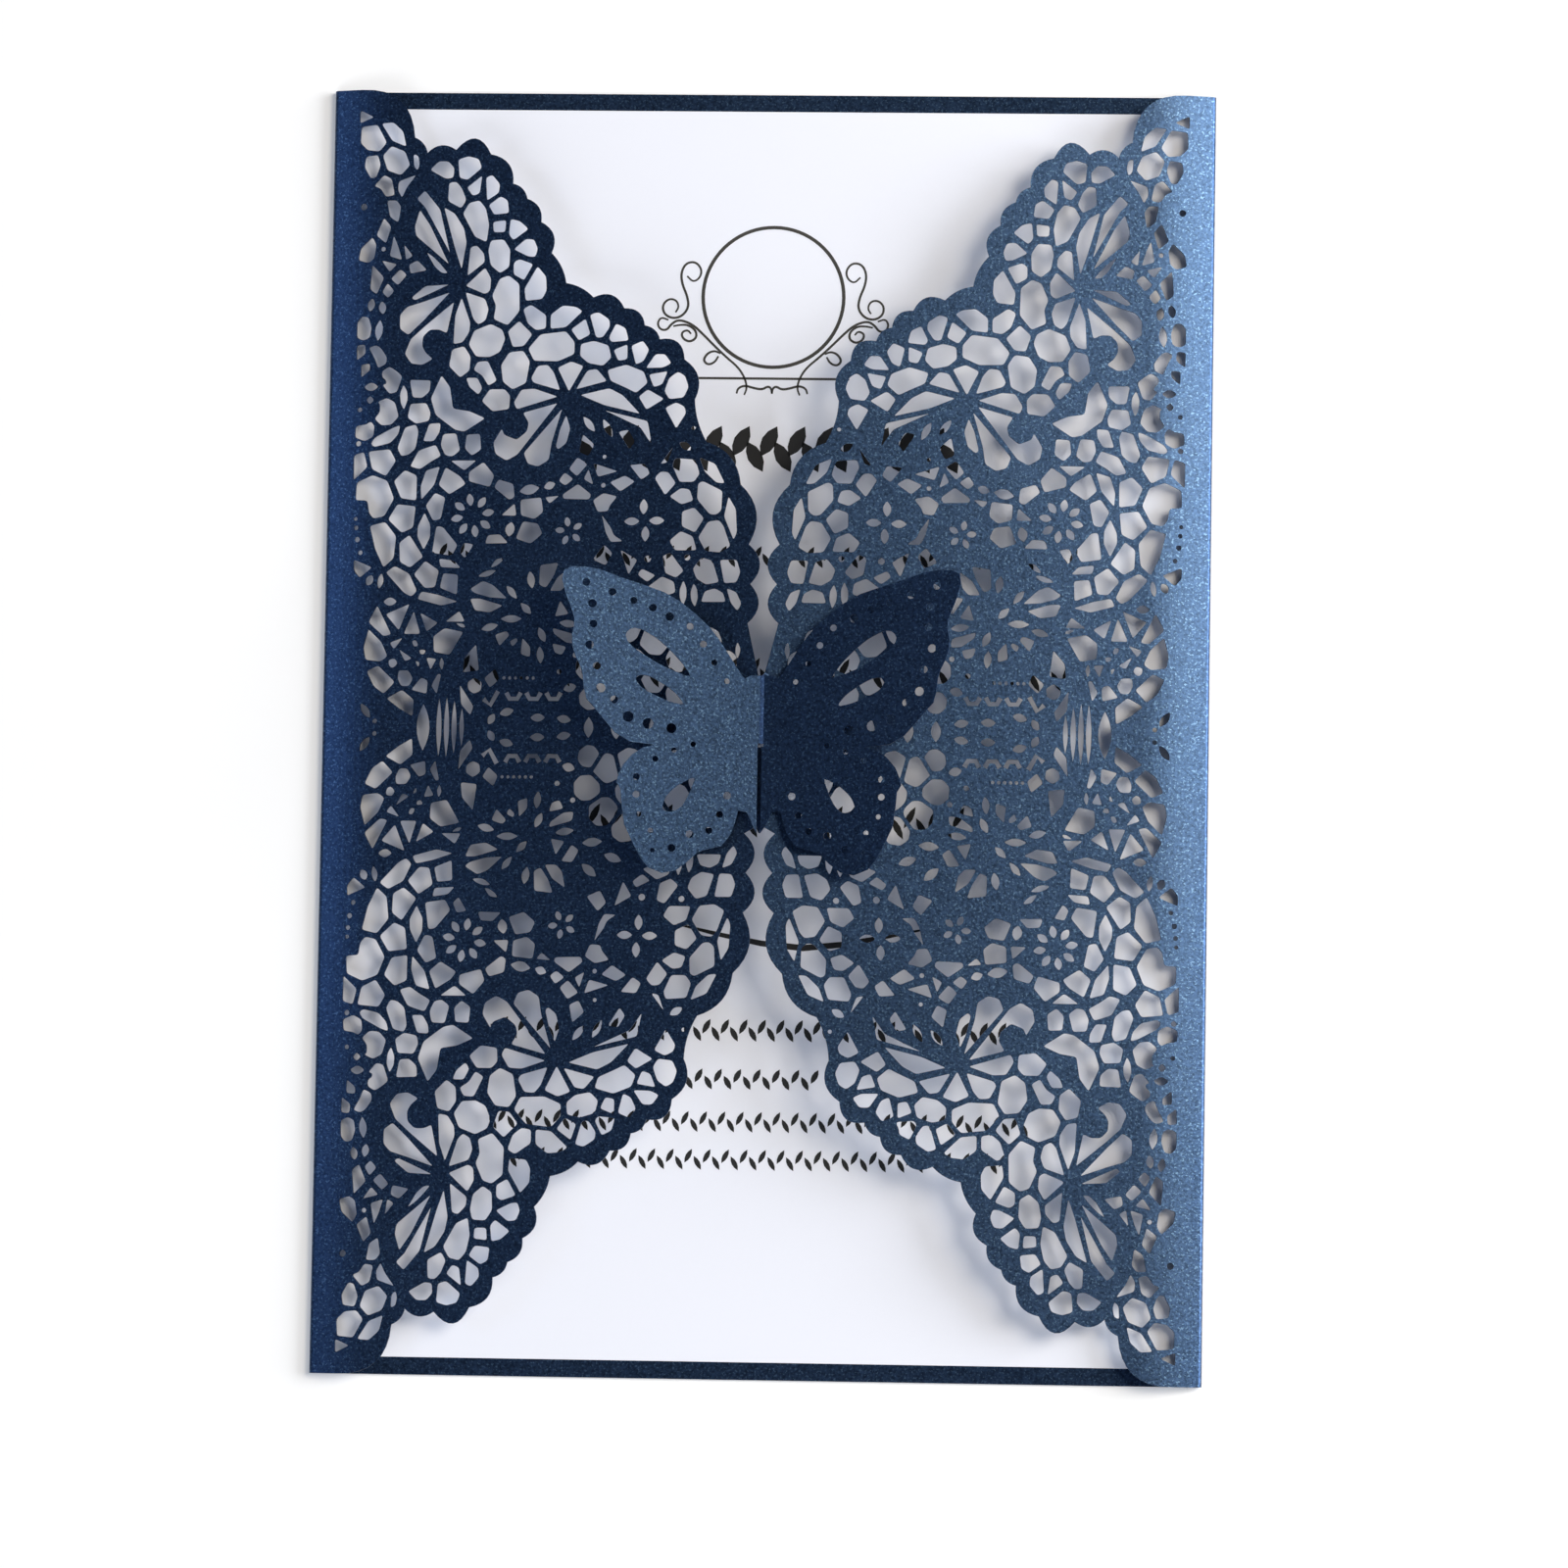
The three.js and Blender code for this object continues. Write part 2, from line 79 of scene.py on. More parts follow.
# Holes of the net, each as its corners.
NET = [
    # corner of the gate
    [(-59.7, 89.3), (-58, 88.4), (-59.7, 87.7)],
    [(-59.6, 87.1), (-57.4, 87.3), (-56, 84.7), (-56.9, 83.6), (-58.5, 83.8), (-59.7, 85)],
    [(-56.4, 87.4), (-55, 87.5), (-53.6, 86.2), (-53.1, 84.3), (-54.9, 85.1)],
    [(-55.1, 84), (-53.1, 83.2), (-52.4, 81.4), (-53.6, 80.1), (-55.5, 80.8), (-56.2, 82.8)],
    [(-58.7, 82.6), (-57.2, 82.8), (-56.8, 81.5), (-57.4, 79.8), (-58, 79.7), (-58.9, 81.3)],
    [(-57.3, 78.5), (-56.1, 79.8), (-55, 79.2), (-54.6, 77.2), (-55.7, 77), (-56.5, 78.2)],
    [(-53.9, 78.9), (-51.6, 79.8), (-52.9, 78.2), (-53.5, 76.9), (-54, 77.8)],
    [(-55.4, 76.1), (-54.3, 76.1), (-53.7, 75.3), (-54, 73.3), (-55, 74)],
    [(-56, 73.5), (-55.1, 72.4), (-55.7, 70.3), (-56.9, 71.3)],
    [(-57.7, 70.7), (-57.2, 69.8), (-57.5, 67.9), (-58.2, 67.4), (-59.5, 67.8), (-59.2, 69.3)],
    [(-54.5, 70.9), (-54, 69.6), (-53.4, 67.8), (-54.9, 68.3)],
    [(-52.9, 69.6), (-51.9, 68.2), (-52.6, 67.8)], [(-56, 67.4), (-54.2, 66.9), (-55, 66.1)],
    [(-52.1, 66.8), (-51, 67.3), (-49.8, 66.1), (-51.9, 65.7)],
    [(-57.5, 66.7), (-56, 65), (-56.9, 62.9), (-57.7, 63.5)],
    [(-53.4, 66.1), (-52.6, 65.4), (-53.7, 64.1), (-54.6, 64.9)],
    [(-55.3, 64), (-54.5, 63.1), (-55.2, 62.3), (-55.9, 63)],
    # along the outer edge
    [(-49.1, 80.7), (-48.1, 81.7), (-46.8, 81.7), (-46, 80.8), (-46.1, 79.6), (-47, 79.5)],
    [(-45.1, 82), (-43.8, 82.4), (-42.4, 82), (-42, 80.9), (-43.9, 79.3), (-44.9, 79.6)],
    [(-46.4, 78.6), (-45.6, 78.7), (-44.7, 77.7), (-44.1, 76.2), (-44.7, 75.2), (-46.5, 76.2)],
    [(-43.7, 78), (-41.8, 79.5), (-42.1, 77.3), (-43, 77)],
    [(-41.1, 79.4), (-40.4, 79.7), (-39.3, 78.4), (-39.4, 77.3), (-40.9, 76.3)],
    [(-40.5, 75.4), (-39, 76.5), (-38.1, 76), (-37.9, 74.4), (-39.8, 74.2)],
    [(-43.5, 75.7), (-42.2, 76), (-41.2, 74.8), (-40.7, 72.5), (-41, 70.3), (-42.5, 71),
     (-44.3, 74.3)], [(-39.9, 72.9), (-38.2, 73.1), (-38.3, 71.6), (-39.8, 71.6)],
    [(-37.4, 73.2), (-36.2, 72.9), (-35.1, 71.9), (-37, 70.5), (-37.6, 71.2)],
    [(-40.2, 70.2), (-38.4, 70.3), (-37.5, 68.9), (-37.6, 66.5), (-38.8, 65.7), (-40.1, 66.8),
     (-40.5, 69)],
    [(-36.8, 69), (-35.3, 70.3), (-34.1, 70.2), (-33.6, 69), (-33.9, 68), (-35, 68.1)],
    [(-36.8, 67), (-36.2, 67.4), (-34.3, 66.7), (-35.4, 64.7), (-36.8, 65.5)],
    [(-33.4, 66.2), (-32.3, 64.9), (-32.2, 63), (-32.8, 61.8), (-34.9, 61.6), (-35.1, 63.2)],
    [(-38.8, 64.6), (-37.6, 65), (-36, 63.7), (-35.9, 60), (-37.5, 58.1), (-39.5, 59),
     (-39.2, 60.9), (-39.8, 62.3)],
    [(-35.4, 60.3), (-34.4, 60.9), (-32.2, 59.4), (-32.2, 57.6), (-33.4, 57.4), (-34.8, 58.5)],
    [(-31.2, 59.4), (-29.6, 60.6), (-27.8, 60.4), (-27, 59.9), (-29.2, 57.8), (-31.2, 57.6)],
    [(-28.3, 57.2), (-26.4, 58.6), (-25.7, 56.5), (-27.2, 55.7)],
    [(-25.5, 59.3), (-24.5, 59.6), (-23, 58.6), (-22.9, 57.7), (-23.9, 56.2), (-24.6, 56.2)],
    [(-22.7, 56.1), (-21.8, 57.9), (-20.6, 57.3), (-20.2, 55.8), (-22.4, 55.6)],
    [(-22, 54.2), (-20.3, 54.9), (-20.3, 53.1), (-21.4, 52.9)],
    [(-19.4, 54.8), (-18, 55.4), (-17.2, 54.3), (-17.9, 52.8), (-18.8, 52.4)],
    [(-17.2, 51.8), (-16, 53.5), (-14.8, 53.5), (-14, 52.4), (-15, 51.9)],
    [(-42.4, 57.1), (-40.1, 58), (-38.5, 57.2), (-38.1, 56), (-38.8, 54.2), (-40.2, 53.5),
     (-42, 53.6), (-43.1, 55.3)],
    [(-37.4, 57.1), (-36, 58.4), (-34.2, 56.6), (-35.3, 55.1), (-36.7, 55)],
    [(-32.7, 56.5), (-29.1, 56.9), (-27.9, 55.5), (-27.9, 53.9), (-30.4, 52.8), (-33.6, 52.9),
     (-34.4, 54.5)],
    [(-26.9, 55.2), (-25.2, 55.6), (-23, 54.9), (-22.6, 53.3), (-23.7, 52.2), (-25.7, 52.6),
     (-27, 53.7)],
    [(-37.2, 53.9), (-35.3, 54.1), (-34.4, 52.7), (-34.9, 49.6), (-36.6, 48.8), (-38, 49.9),
     (-38.3, 52.2)],
    [(-45.5, 54.4), (-44, 54.8), (-43, 53.3), (-43.1, 51.5), (-44.3, 50.6), (-45.9, 52.2)],
    [(-42.4, 51.6), (-41.9, 52.6), (-40.5, 52.7), (-39.2, 50), (-40.2, 49.4), (-41, 50.7)],
    [(-43.4, 50.3), (-42, 50.3), (-41.3, 48.9), (-41.7, 48.2), (-43, 49.3)],
    [(-41, 47.1), (-40, 48.6), (-38, 48.6), (-37.2, 47.7), (-37.3, 46), (-39.5, 45.7)],
    # along the inner edge
    [(-22.8, 51.3), (-20.3, 52), (-17.8, 51), (-17.3, 49.6), (-18.8, 48.3), (-20.2, 49),
     (-22.4, 50)],
    [(-16.8, 50.6), (-14.4, 51), (-15, 49.5), (-16.2, 49.1)],
    [(-14.6, 48.5), (-14, 50.2), (-12.9, 51), (-11.9, 50.4), (-11.4, 48.9), (-12.1, 47.4),
     (-13.8, 47.2)], [(-18.2, 47.5), (-17.1, 48.4), (-15, 47.2), (-17.2, 45.9)],
    [(-14.4, 46), (-13, 46.7), (-12, 46.2), (-11.7, 45.2), (-12.9, 43.2)],
    [(-26.3, 41.9), (-24.9, 40.6), (-25.6, 39.2), (-26.7, 39.7)],
    [(-27.1, 38.6), (-25.8, 37.8), (-27.1, 36.3), (-28.1, 37.2)],
    [(-29, 36.5), (-27.9, 35.7), (-28.9, 34.9), (-29.7, 35.5)],
    [(-25.5, 36.9), (-24.9, 35.1), (-26, 35.8)],
    [(-22.1, 35.2), (-20.2, 36), (-19, 35.3), (-20.8, 34.1)],
    [(-19.3, 37.6), (-17.4, 37.7), (-16.8, 36.5), (-17.8, 35.8)],
    [(-27, 34.8), (-25.2, 33.4), (-25.4, 32.9), (-28.9, 33), (-29, 33.4)],
    [(-31.5, 33), (-29.9, 33.2), (-31, 32.4)],
    [(-24.6, 32.6), (-23.3, 33.5), (-21.5, 33.1), (-22.5, 31.9), (-22.7, 31.1), (-23.9, 31)],
    [(-15.7, 35.8), (-15, 36.6), (-14, 36.5), (-13, 35.1), (-14.3, 33.6)],
    [(-13.2, 37.6), (-12.9, 38.5), (-10.2, 38.3), (-9.6, 36.4), (-10.3, 35.4), (-12.2, 35.4)],
    [(-9.3, 38.6), (-7.3, 37.7), (-6, 35.2), (-6.9, 35.3), (-8.6, 36.9)],
    [(-13.5, 33.2), (-12.1, 34.2), (-10.8, 34), (-10.3, 32.6), (-11.8, 32.1)],
    [(-9.6, 34.9), (-9, 35.2), (-6.2, 33.8), (-6.3, 31.3), (-7, 30.7), (-8, 30.8),
     (-9.7, 32.8)],
    [(-5.2, 32.9), (-4.3, 31.3), (-4.1, 28), (-4.4, 27.2), (-5.7, 30.4)],
    [(-11.7, 30.9), (-10.2, 31.4), (-8.9, 30), (-10, 28.2), (-11.7, 29)],
    [(-13.4, 26.8), (-12, 28), (-10.4, 27.3), (-9.9, 25.6), (-12.7, 25.6)],
    [(-8, 29.4), (-6.6, 29.6), (-6, 28.9), (-5, 26.1), (-6.3, 25.3), (-8.3, 25.5),
     (-9.3, 27.3)],
    [(-23.4, 30.4), (-22.3, 28.8), (-21.8, 27.5), (-20.6, 26.8), (-22, 26.8), (-22.9, 28.3)],
    [(-23, 26), (-22, 25), (-22.8, 23.5), (-24.4, 24.2)],
    [(-20.5, 25.3), (-18.4, 24), (-19.4, 22.2)],
    [(-14.4, 24.5), (-13.5, 24.9), (-11.7, 22.5), (-12.6, 21.7), (-14, 22.3)],
    [(-10, 22.8), (-8.9, 24.2), (-7.5, 23.8), (-6.6, 21), (-8.2, 20.7), (-9.5, 21.5)],
    [(-6.1, 23.9), (-4, 23.9), (-3.5, 22.3), (-4, 21), (-5.5, 20.9)],
    [(-17.9, 22), (-17.5, 22.6), (-15.8, 21.8), (-16.7, 21.1)],
    [(-16.4, 20.2), (-14.6, 21.5), (-13, 20.8), (-12.8, 19.5), (-13.7, 19.2)],
    [(-5.1, 19.8), (-4, 19.3), (-3.3, 17.8), (-3.7, 17), (-4.5, 18)],
    # middle of the gate
    [(-59.2, 35.3), (-57, 36.3), (-54.9, 35.5), (-53.9, 33), (-55.2, 30.6), (-56.6, 30.3),
     (-57.2, 31), (-57.5, 32.9), (-59.3, 33)],
    [(-59.6, 39.2), (-58.3, 39.6), (-57.8, 37.6), (-59.6, 35.9)],
    [(-57.5, 39.7), (-54.6, 40), (-53.7, 38.4), (-55, 36.4), (-57, 37.4)],
    [(-53.6, 35.5), (-52.2, 36.9), (-50.6, 36.2), (-50.6, 32.9), (-52.6, 33.2)],
    [(-54.4, 30), (-53.2, 32), (-50.7, 31.7), (-51, 28.9), (-52.5, 28.2)],
    [(-47.2, 37.4), (-49, 36.9), (-49.7, 34.7), (-49.6, 33), (-47.9, 35)],
    [(-46.3, 37.3), (-44.2, 36), (-43.5, 35.1), (-45.7, 33.7), (-47.2, 35)],
    [(-45.3, 38.4), (-42, 38.4), (-43.5, 37.2)],
    [(-42.7, 36.7), (-40.8, 38), (-39.3, 36.2), (-39.8, 34.8), (-42.7, 35.6)],
    [(-39, 34.6), (-38.5, 35.5), (-36.5, 34.9), (-36.3, 33.2), (-36.9, 32.9)],
    [(-35.1, 32.6), (-32.4, 32.9), (-32.1, 31), (-33.2, 30.1), (-35, 30.6)],
    [(-37.8, 30.6), (-36.2, 32), (-36, 30.6)],
    [(-35.7, 27.3), (-34.8, 29.5), (-32.8, 29.2), (-32.2, 27.9), (-33.7, 26.6)],
    [(-40.1, 26.6), (-39.8, 27.5), (-38.2, 27.6), (-37.2, 26.6)],
    [(-49, 31.8), (-47.7, 33.6), (-46.4, 33), (-47, 30), (-48, 29.8)],
    [(-47.9, 25.3), (-47.4, 28.8), (-46.6, 28.7), (-44.5, 26.2), (-45.2, 24.9)],
    [(-57, 29), (-55, 29.5), (-53.4, 27.5), (-53.7, 24.5), (-55, 23.3), (-56.2, 25.8)],
    [(-52.7, 26.5), (-51.4, 27.5), (-49.5, 24.6), (-51.2, 23.2), (-52.6, 24)],
    [(-54.5, 22.3), (-53.4, 23.1), (-51.3, 22), (-50.2, 19.7), (-50.9, 19), (-52, 19.6)],
    [(-50.5, 22), (-49, 23.8), (-47.1, 22.5), (-47.6, 20.3), (-49, 20.2)],
    [(-46.2, 22), (-44.3, 21.8), (-44.4, 19.3), (-46.6, 20.2)],
    [(-46.8, 24.1), (-44.8, 23.8), (-44, 23), (-46.6, 23.2)],
    [(-49.8, 18.6), (-49.4, 19.4), (-47, 18.9), (-44.4, 18.1), (-46.5, 17.7)],
    [(-59.3, 24), (-57, 23), (-58.5, 21.8), (-59.3, 22.8)],
    # sunburst on the middle line
    [(-56.9, 15.2), (-55.8, 17.3), (-53.9, 13.5), (-54.8, 13.3)],
    [(-54.4, 16.2), (-51.3, 17.6), (-52.7, 14.2)],
    [(-50.5, 16.5), (-49.7, 13.6), (-51.7, 13.6)],
    [(-49.4, 16.3), (-47.2, 15), (-48.5, 14)], [(-45.6, 15.2), (-43.9, 16.5), (-43.2, 15.2)],
    [(-57, 13.9), (-55, 12), (-54.2, 10.2), (-55, 9.6), (-57.3, 9.9), (-57.6, 11.5)],
    [(-57, 8), (-55.5, 8.7), (-53.2, 6.5), (-54.6, 5), (-56, 6)],
    [(-53.7, 12.1), (-52.2, 12.7), (-53.2, 11.4)], [(-52.5, 11.2), (-50.6, 9.9), (-51.6, 9.5)],
    [(-50.4, 5.5), (-49.2, 7), (-48.3, 6.6), (-48.4, 5)],
    [(-54, 4.2), (-52, 5.3), (-50.4, 4), (-50.5, 1.8), (-52.3, 2.9)],
    [(-47.4, 13), (-45.8, 14.2), (-43.4, 13.7), (-45.2, 10.6), (-47.3, 11)],
    [(-48.5, 10), (-47.1, 9.8), (-47.9, 8.3)],
    [(-47.7, 6), (-46.8, 7.7), (-46.3, 7.6), (-46.9, 4.8)],
    [(-43, 8.1), (-42.8, 10), (-41.4, 11.7), (-41, 8.3)],
    [(-39.9, 7), (-38.5, 8.2), (-38, 7), (-39.2, 5.9)],
]

# Holes of the net beside the fold, each as its corners.
SIDE_NET = [
    [(-59.5, 58.6), (-58.9, 59.3), (-57.9, 59.1), (-57.5, 57.8), (-57.7, 56.5),
     (-58.6, 56.1), (-59.5, 56.5)],
    [(-59.5, 55.1), (-58.5, 55.2), (-58.4, 54.2), (-59.5, 53.3)],
    [(-57.7, 54.8), (-56.8, 55.1), (-56.2, 54.7), (-55.2, 53.2), (-55.3, 52.5),
     (-56.3, 52), (-56.8, 53.2)],
    [(-58.8, 52.3), (-57.8, 52.4), (-57.8, 51.7), (-58.8, 50.8)],
    [(-55.8, 51.5), (-54.8, 52.1), (-53.7, 51.3), (-52.9, 50.5), (-53.6, 48.4),
     (-54.5, 48.2), (-55.5, 49.4), (-55, 49.5), (-55.1, 50.3), (-55.8, 50.8)],
    [(-51.6, 50), (-48.7, 49.9), (-48.8, 48.5), (-49.7, 47.7), (-51.2, 47.8)],
    [(-51.6, 46.7), (-49.3, 46.8), (-48.6, 45.3), (-48.8, 44.2), (-50.7, 43.8), (-52, 44.7)],
    [(-56.4, 47), (-55.3, 47.5), (-54, 46.8), (-53.4, 44.7), (-54.3, 43.7),
     (-55.5, 43.6), (-56.6, 44.6), (-55.9, 45.5), (-55.9, 46.6)],
    [(-59.4, 43.4), (-58, 43.6), (-57.4, 44), (-56.8, 43.3), (-56.9, 42),
     (-58, 41.4), (-59.5, 42)],
    [(-57.3, 41), (-56.8, 41.8), (-54, 43.3), (-53, 43.6), (-53.3, 42.3),
     (-54.3, 41.2), (-56.8, 40.6)],
    [(-52.3, 43.3), (-50.7, 43.7), (-50.3, 42.7), (-50.7, 40.2), (-51.5, 39.5),
     (-52.7, 39.3), (-53.3, 40.5)],
    [(-48.8, 43.8), (-47.1, 43.9), (-47.2, 42.7), (-48, 41.4), (-49.6, 41.4)],
    [(-50.3, 39.9), (-49.3, 40.2), (-47.8, 40.6), (-47.1, 39.2), (-48.7, 38.3),
     (-50, 37.4), (-51.4, 37.8)],
    [(-46.7, 42.3), (-44.8, 42.4), (-44.2, 40), (-45.3, 39.1), (-46.3, 39.3), (-47, 40.8)],
    [(-43.3, 42.2), (-41.5, 42.3), (-41.3, 40.1), (-42.5, 39.3), (-43.5, 40.3)],
    [(-43.3, 26.4), (-42.2, 26.2), (-43.2, 24.6), (-43.8, 25.2)],
    [(-52.5, 8), (-51.2, 8), (-50.6, 7), (-51.1, 6), (-52.1, 6), (-52.6, 7)],
    [(-54.1, 9.7), (-53.3, 9.9), (-52.9, 9.2), (-53.4, 8.7), (-54, 9)],
    [(-42.3, 6.4), (-41.4, 7), (-40.5, 6.4), (-40.6, 5.4), (-41.5, 5), (-42.2, 5.5)],
]

# Net under the wings: x, y, radius. Neighbours share the lace between them.
CELLS = [
    (-24.8, 8.6, 1.6), (-22, 5.8, 1.8), (-24.6, 4.2, 1.3), (-19, 5, 1.7),
    (-22.4, 12, 1.8), (-18.6, 9.2, 1.9), (-19.4, 14.2, 1.7), (-15.4, 12.6, 1.9),
    (-15.4, 7, 1.7), (-11.8, 10, 1.7), (-11.4, 14.2, 1.6), (-7.9, 12.4, 1.6),
    (-8.4, 8, 1.6), (-12, 5.2, 1.6), (-5, 9.6, 1.2), (-4.6, 5.6, 1.3),
    (-8.2, 4.2, 1.3),
]

# Long holes of the fans, scrolls and flowers, each as its corners.
PETALS = [
    [(-50.7, 74.6), (-51.3, 72.5), (-51.1, 71.2), (-46.5, 67.1), (-49.3, 72.5)],
    [(-50.1, 77.4), (-51, 76.5), (-50, 75.5), (-46.3, 68.7), (-47.9, 74.8), (-49.4, 76.6)],
    [(-47.1, 75), (-45.3, 69), (-44.5, 66.4), (-44, 70), (-44.4, 72), (-45.8, 74.2)],
    [(-49.5, 68.5), (-48.3, 66.7), (-47.3, 65.8), (-46.7, 65.7), (-47.7, 66.8), (-48.7, 67.8)],
    [(-43.1, 69.2), (-43.5, 65.4), (-41.3, 67.2), (-41.4, 68.3), (-42.4, 69.4)],
    [(-43.6, 63.8), (-41, 62.7), (-40.4, 63.1), (-40.3, 64.7), (-41.1, 66.1)],
    [(-43.7, 62.6), (-42.6, 59.1), (-41.9, 58.3), (-41, 58.8), (-40.6, 60.3), (-41.1, 61.7)],
    [(-44.4, 61.9), (-45.2, 59.5), (-45.4, 55.5), (-44.2, 55.7), (-43.3, 57.1), (-43.2, 58.5)],
    [(-46.5, 63.9), (-49.7, 63.6), (-51.5, 62.1), (-51.2, 61.9), (-48.5, 63.1)],
    [(-46.3, 62.7), (-50, 61.3), (-52.3, 60.6), (-53.2, 59.6), (-53.2, 57.7),
     (-52.1, 56.9), (-50, 58.9)],
    [(-45.6, 61.2), (-49.5, 57.9), (-51.6, 56), (-52.4, 54), (-51.5, 52.7),
     (-50, 52.5), (-48.7, 53.2), (-49.6, 53.9), (-50.2, 55), (-50.1, 56.5),
     (-49, 57.6), (-47.5, 57.6), (-46.5, 57.1)],
    [(-47.2, 50.6), (-48.6, 47.5), (-47.8, 45), (-45, 42.9), (-43.6, 42.6),
     (-40.8, 44.4), (-43, 45.4), (-45.5, 45.8), (-46, 49)],
    [(-36.4, 46.9), (-36, 46), (-30.4, 47.6), (-33.8, 48.7), (-35.4, 48.6)],
    [(-33.9, 50.3), (-33.6, 49.8), (-30, 48.7), (-30.9, 51), (-31.8, 52.1), (-33, 52)],
    [(-30, 51.7), (-28.5, 48.6), (-26.7, 51.9), (-28.3, 52.5)],
    [(-27.3, 48.8), (-23.3, 49.9), (-24.6, 51.4), (-25.8, 51.2)],
    [(-26.6, 47.8), (-23.3, 46.5), (-18.4, 45.2), (-20.8, 47.6), (-22.7, 48.6)],
    [(-30.3, 46.5), (-34.9, 45.2), (-34.1, 43.9), (-34.4, 42.5), (-36, 41.2),
     (-38, 42), (-38.2, 42.8), (-39.2, 41), (-38.9, 39.5), (-37.4, 38.6),
     (-35.7, 39.5)],
    [(-29.5, 45.8), (-34.8, 39.6), (-34.2, 38.1), (-32.8, 37.7), (-31.4, 38.6), (-31, 41)],
    [(-28.9, 44.7), (-29.6, 43), (-30.2, 40.5), (-29.9, 40.2), (-28.9, 41), (-28.4, 43)],
    [(-23.3, 45.6), (-18, 43.3), (-16.5, 40.9), (-17.2, 43.9)],
    [(-21, 42.4), (-19.9, 42.6), (-19, 41.1), (-19.6, 40.2)],
    [(-13.4, 40.1), (-14.9, 38), (-14.2, 38.2)],
    [(-42.1, 19.9), (-40.5, 20.9), (-39, 20.3), (-37.1, 18.6), (-39.4, 18.8), (-41.5, 19.4)],
    [(-42.1, 18.4), (-40.9, 18.4), (-37.8, 17.5), (-39.4, 16.7), (-41.5, 17)],
    [(-32.1, 23.2), (-29.6, 23.5), (-30.2, 21.8), (-31.3, 20.1), (-32.2, 20.5)],
    [(-29.7, 21.6), (-28, 22.8), (-28.4, 20.7), (-29.2, 19.8), (-30.7, 19.8)],
    [(-28.2, 19), (-26.9, 19.1), (-26.1, 17.6), (-26.9, 17)],
    [(-29.2, 18), (-28.2, 16.4), (-29.8, 16.1)],
    [(-30.1, 14.1), (-27.1, 13.2), (-26.9, 12.1), (-28.2, 12.2), (-29.9, 13.4)],
    [(-30.1, 12), (-28.4, 11.6), (-28.9, 10.6), (-29.8, 10.9)],
    [(-38.4, 13.2), (-36.9, 13.7), (-36.5, 13.2), (-37.8, 11.8)],
    [(-36.5, 12.4), (-35.5, 12.9), (-35.3, 12.4), (-36.1, 11.6)],
    [(-34.6, 12.6), (-33.6, 11.5), (-33.6, 10.3), (-34.8, 10.7)],
    [(-51.8, 82.8), (-51.3, 82.6), (-51.1, 81.5), (-51.3, 80.8), (-51.7, 81.2)],
    [(-44.4, 15), (-43.2, 14.9), (-42.9, 14.4), (-43.6, 14.4)],
    [(-50.5, 12.3), (-50, 12.4), (-49.7, 11.7), (-50.2, 11.6)],
    [(-49.6, 11.2), (-48.6, 11.1), (-48.9, 10.5), (-49.5, 10.6)],
    [(-50.2, 9.6), (-49.6, 9.4), (-49.8, 8.8)],
    [(-24.6, 37.8), (-21.5, 36.8), (-24, 36.2)],
    [(-8.8, 18.2), (-8.4, 19.4), (-7, 19.8), (-5.9, 19.2), (-5.6, 18.2)],
    [(-43.5, 5.9), (-41.7, 3), (-42, 2), (-43.2, 3.4)],
]

# Pointed holes: x, y, length, width, direction in degrees.
LEAVES = [
    (-57.6, 61.1, 1.6, 0.9, 80), (-56, 60.7, 1.6, 0.9, 100), (-56.5, 57.4, 2.9, 1.1, 85),
    (-57.4, 49.2, 1.7, 0.9, 0), (-57.4, 47.3, 1, 0.8, 0), (-52.6, 47.7, 3.4, 1.2, 95),
    (-31, 34.8, 1.6, 0.9, 20), (-11.5, 40.4, 1.7, 0.8, -30), (-25.5, 43.6, 2.4, 0.7, -52),
    (-22.8, 43, 2.6, 0.7, -62), (-11.5, 19.3, 3.2, 0.8, 90), (-9.9, 19, 3, 0.9, 95),
    (-3.6, 11, 2.2, 0.6, 90), (-49.2, 28.4, 5.2, 1.9, 90), (-34, 34.2, 2.6, 1.2, 10),
    (-36.7, 28.5, 1.8, 1.2, 80), (-54, 18.1, 1.6, 0.9, 0), (-57, 21.2, 1.4, 1, 60),
    (-55.5, 21.1, 2, 0.7, 80),
    # flower with four leaves
    (-17.4, 31.7, 1.9, 0.9, 90), (-19.1, 29.6, 1.9, 0.9, 0), (-15.5, 29.7, 1.9, 0.9, 0),
    (-17.1, 27.8, 1.9, 0.9, 90),
    # slit flower and daisy
    (-38.6, 23.6, 2.2, 0.7, 35), (-39.9, 22.2, 2.4, 0.7, 20), (-36.3, 15.6, 2.8, 0.8, 0),
    (-34.3, 17.2, 2.2, 0.8, 135), (-36.2, 19.3, 2.4, 0.8, 130), (-39.4, 14.4, 2.2, 0.8, 15),
    (-31.8, 13.3, 2, 0.8, 115), (-32, 10.4, 2.2, 0.8, 95), (-33.5, 21.2, 2.2, 0.9, 100),
    (-28, 14.9, 2.4, 0.8, -8), (-24.4, 20.4, 2.4, 1, 40), (-21, 18.6, 2.4, 1, 20),
    (-24, 16.4, 2.6, 1, -5), (-27.6, 5.7, 1.6, 1, 15),
    # sunburst
    (-46.3, 9, 1.8, 0.5, 95), (-57.3, 2.4, 2.2, 0.8, -55), (-36.7, 2.2, 1.8, 0.9, 15),
    (-32.2, 1.4, 1.8, 0.9, 0), (-28.4, 1.2, 1.8, 0.9, -10), (-38.9, 1.2, 1.4, 0.8, 60),
]

# Flowers of pointed holes: x, y, petals, middle of a petal from there, length, width, turn.
FLOWERS = [
    (-42.2, 30.5, 8, 2.3, 1.5, 0.8, 10), (-28.1, 28.2, 5, 1.3, 1.2, 0.8, 30),
]

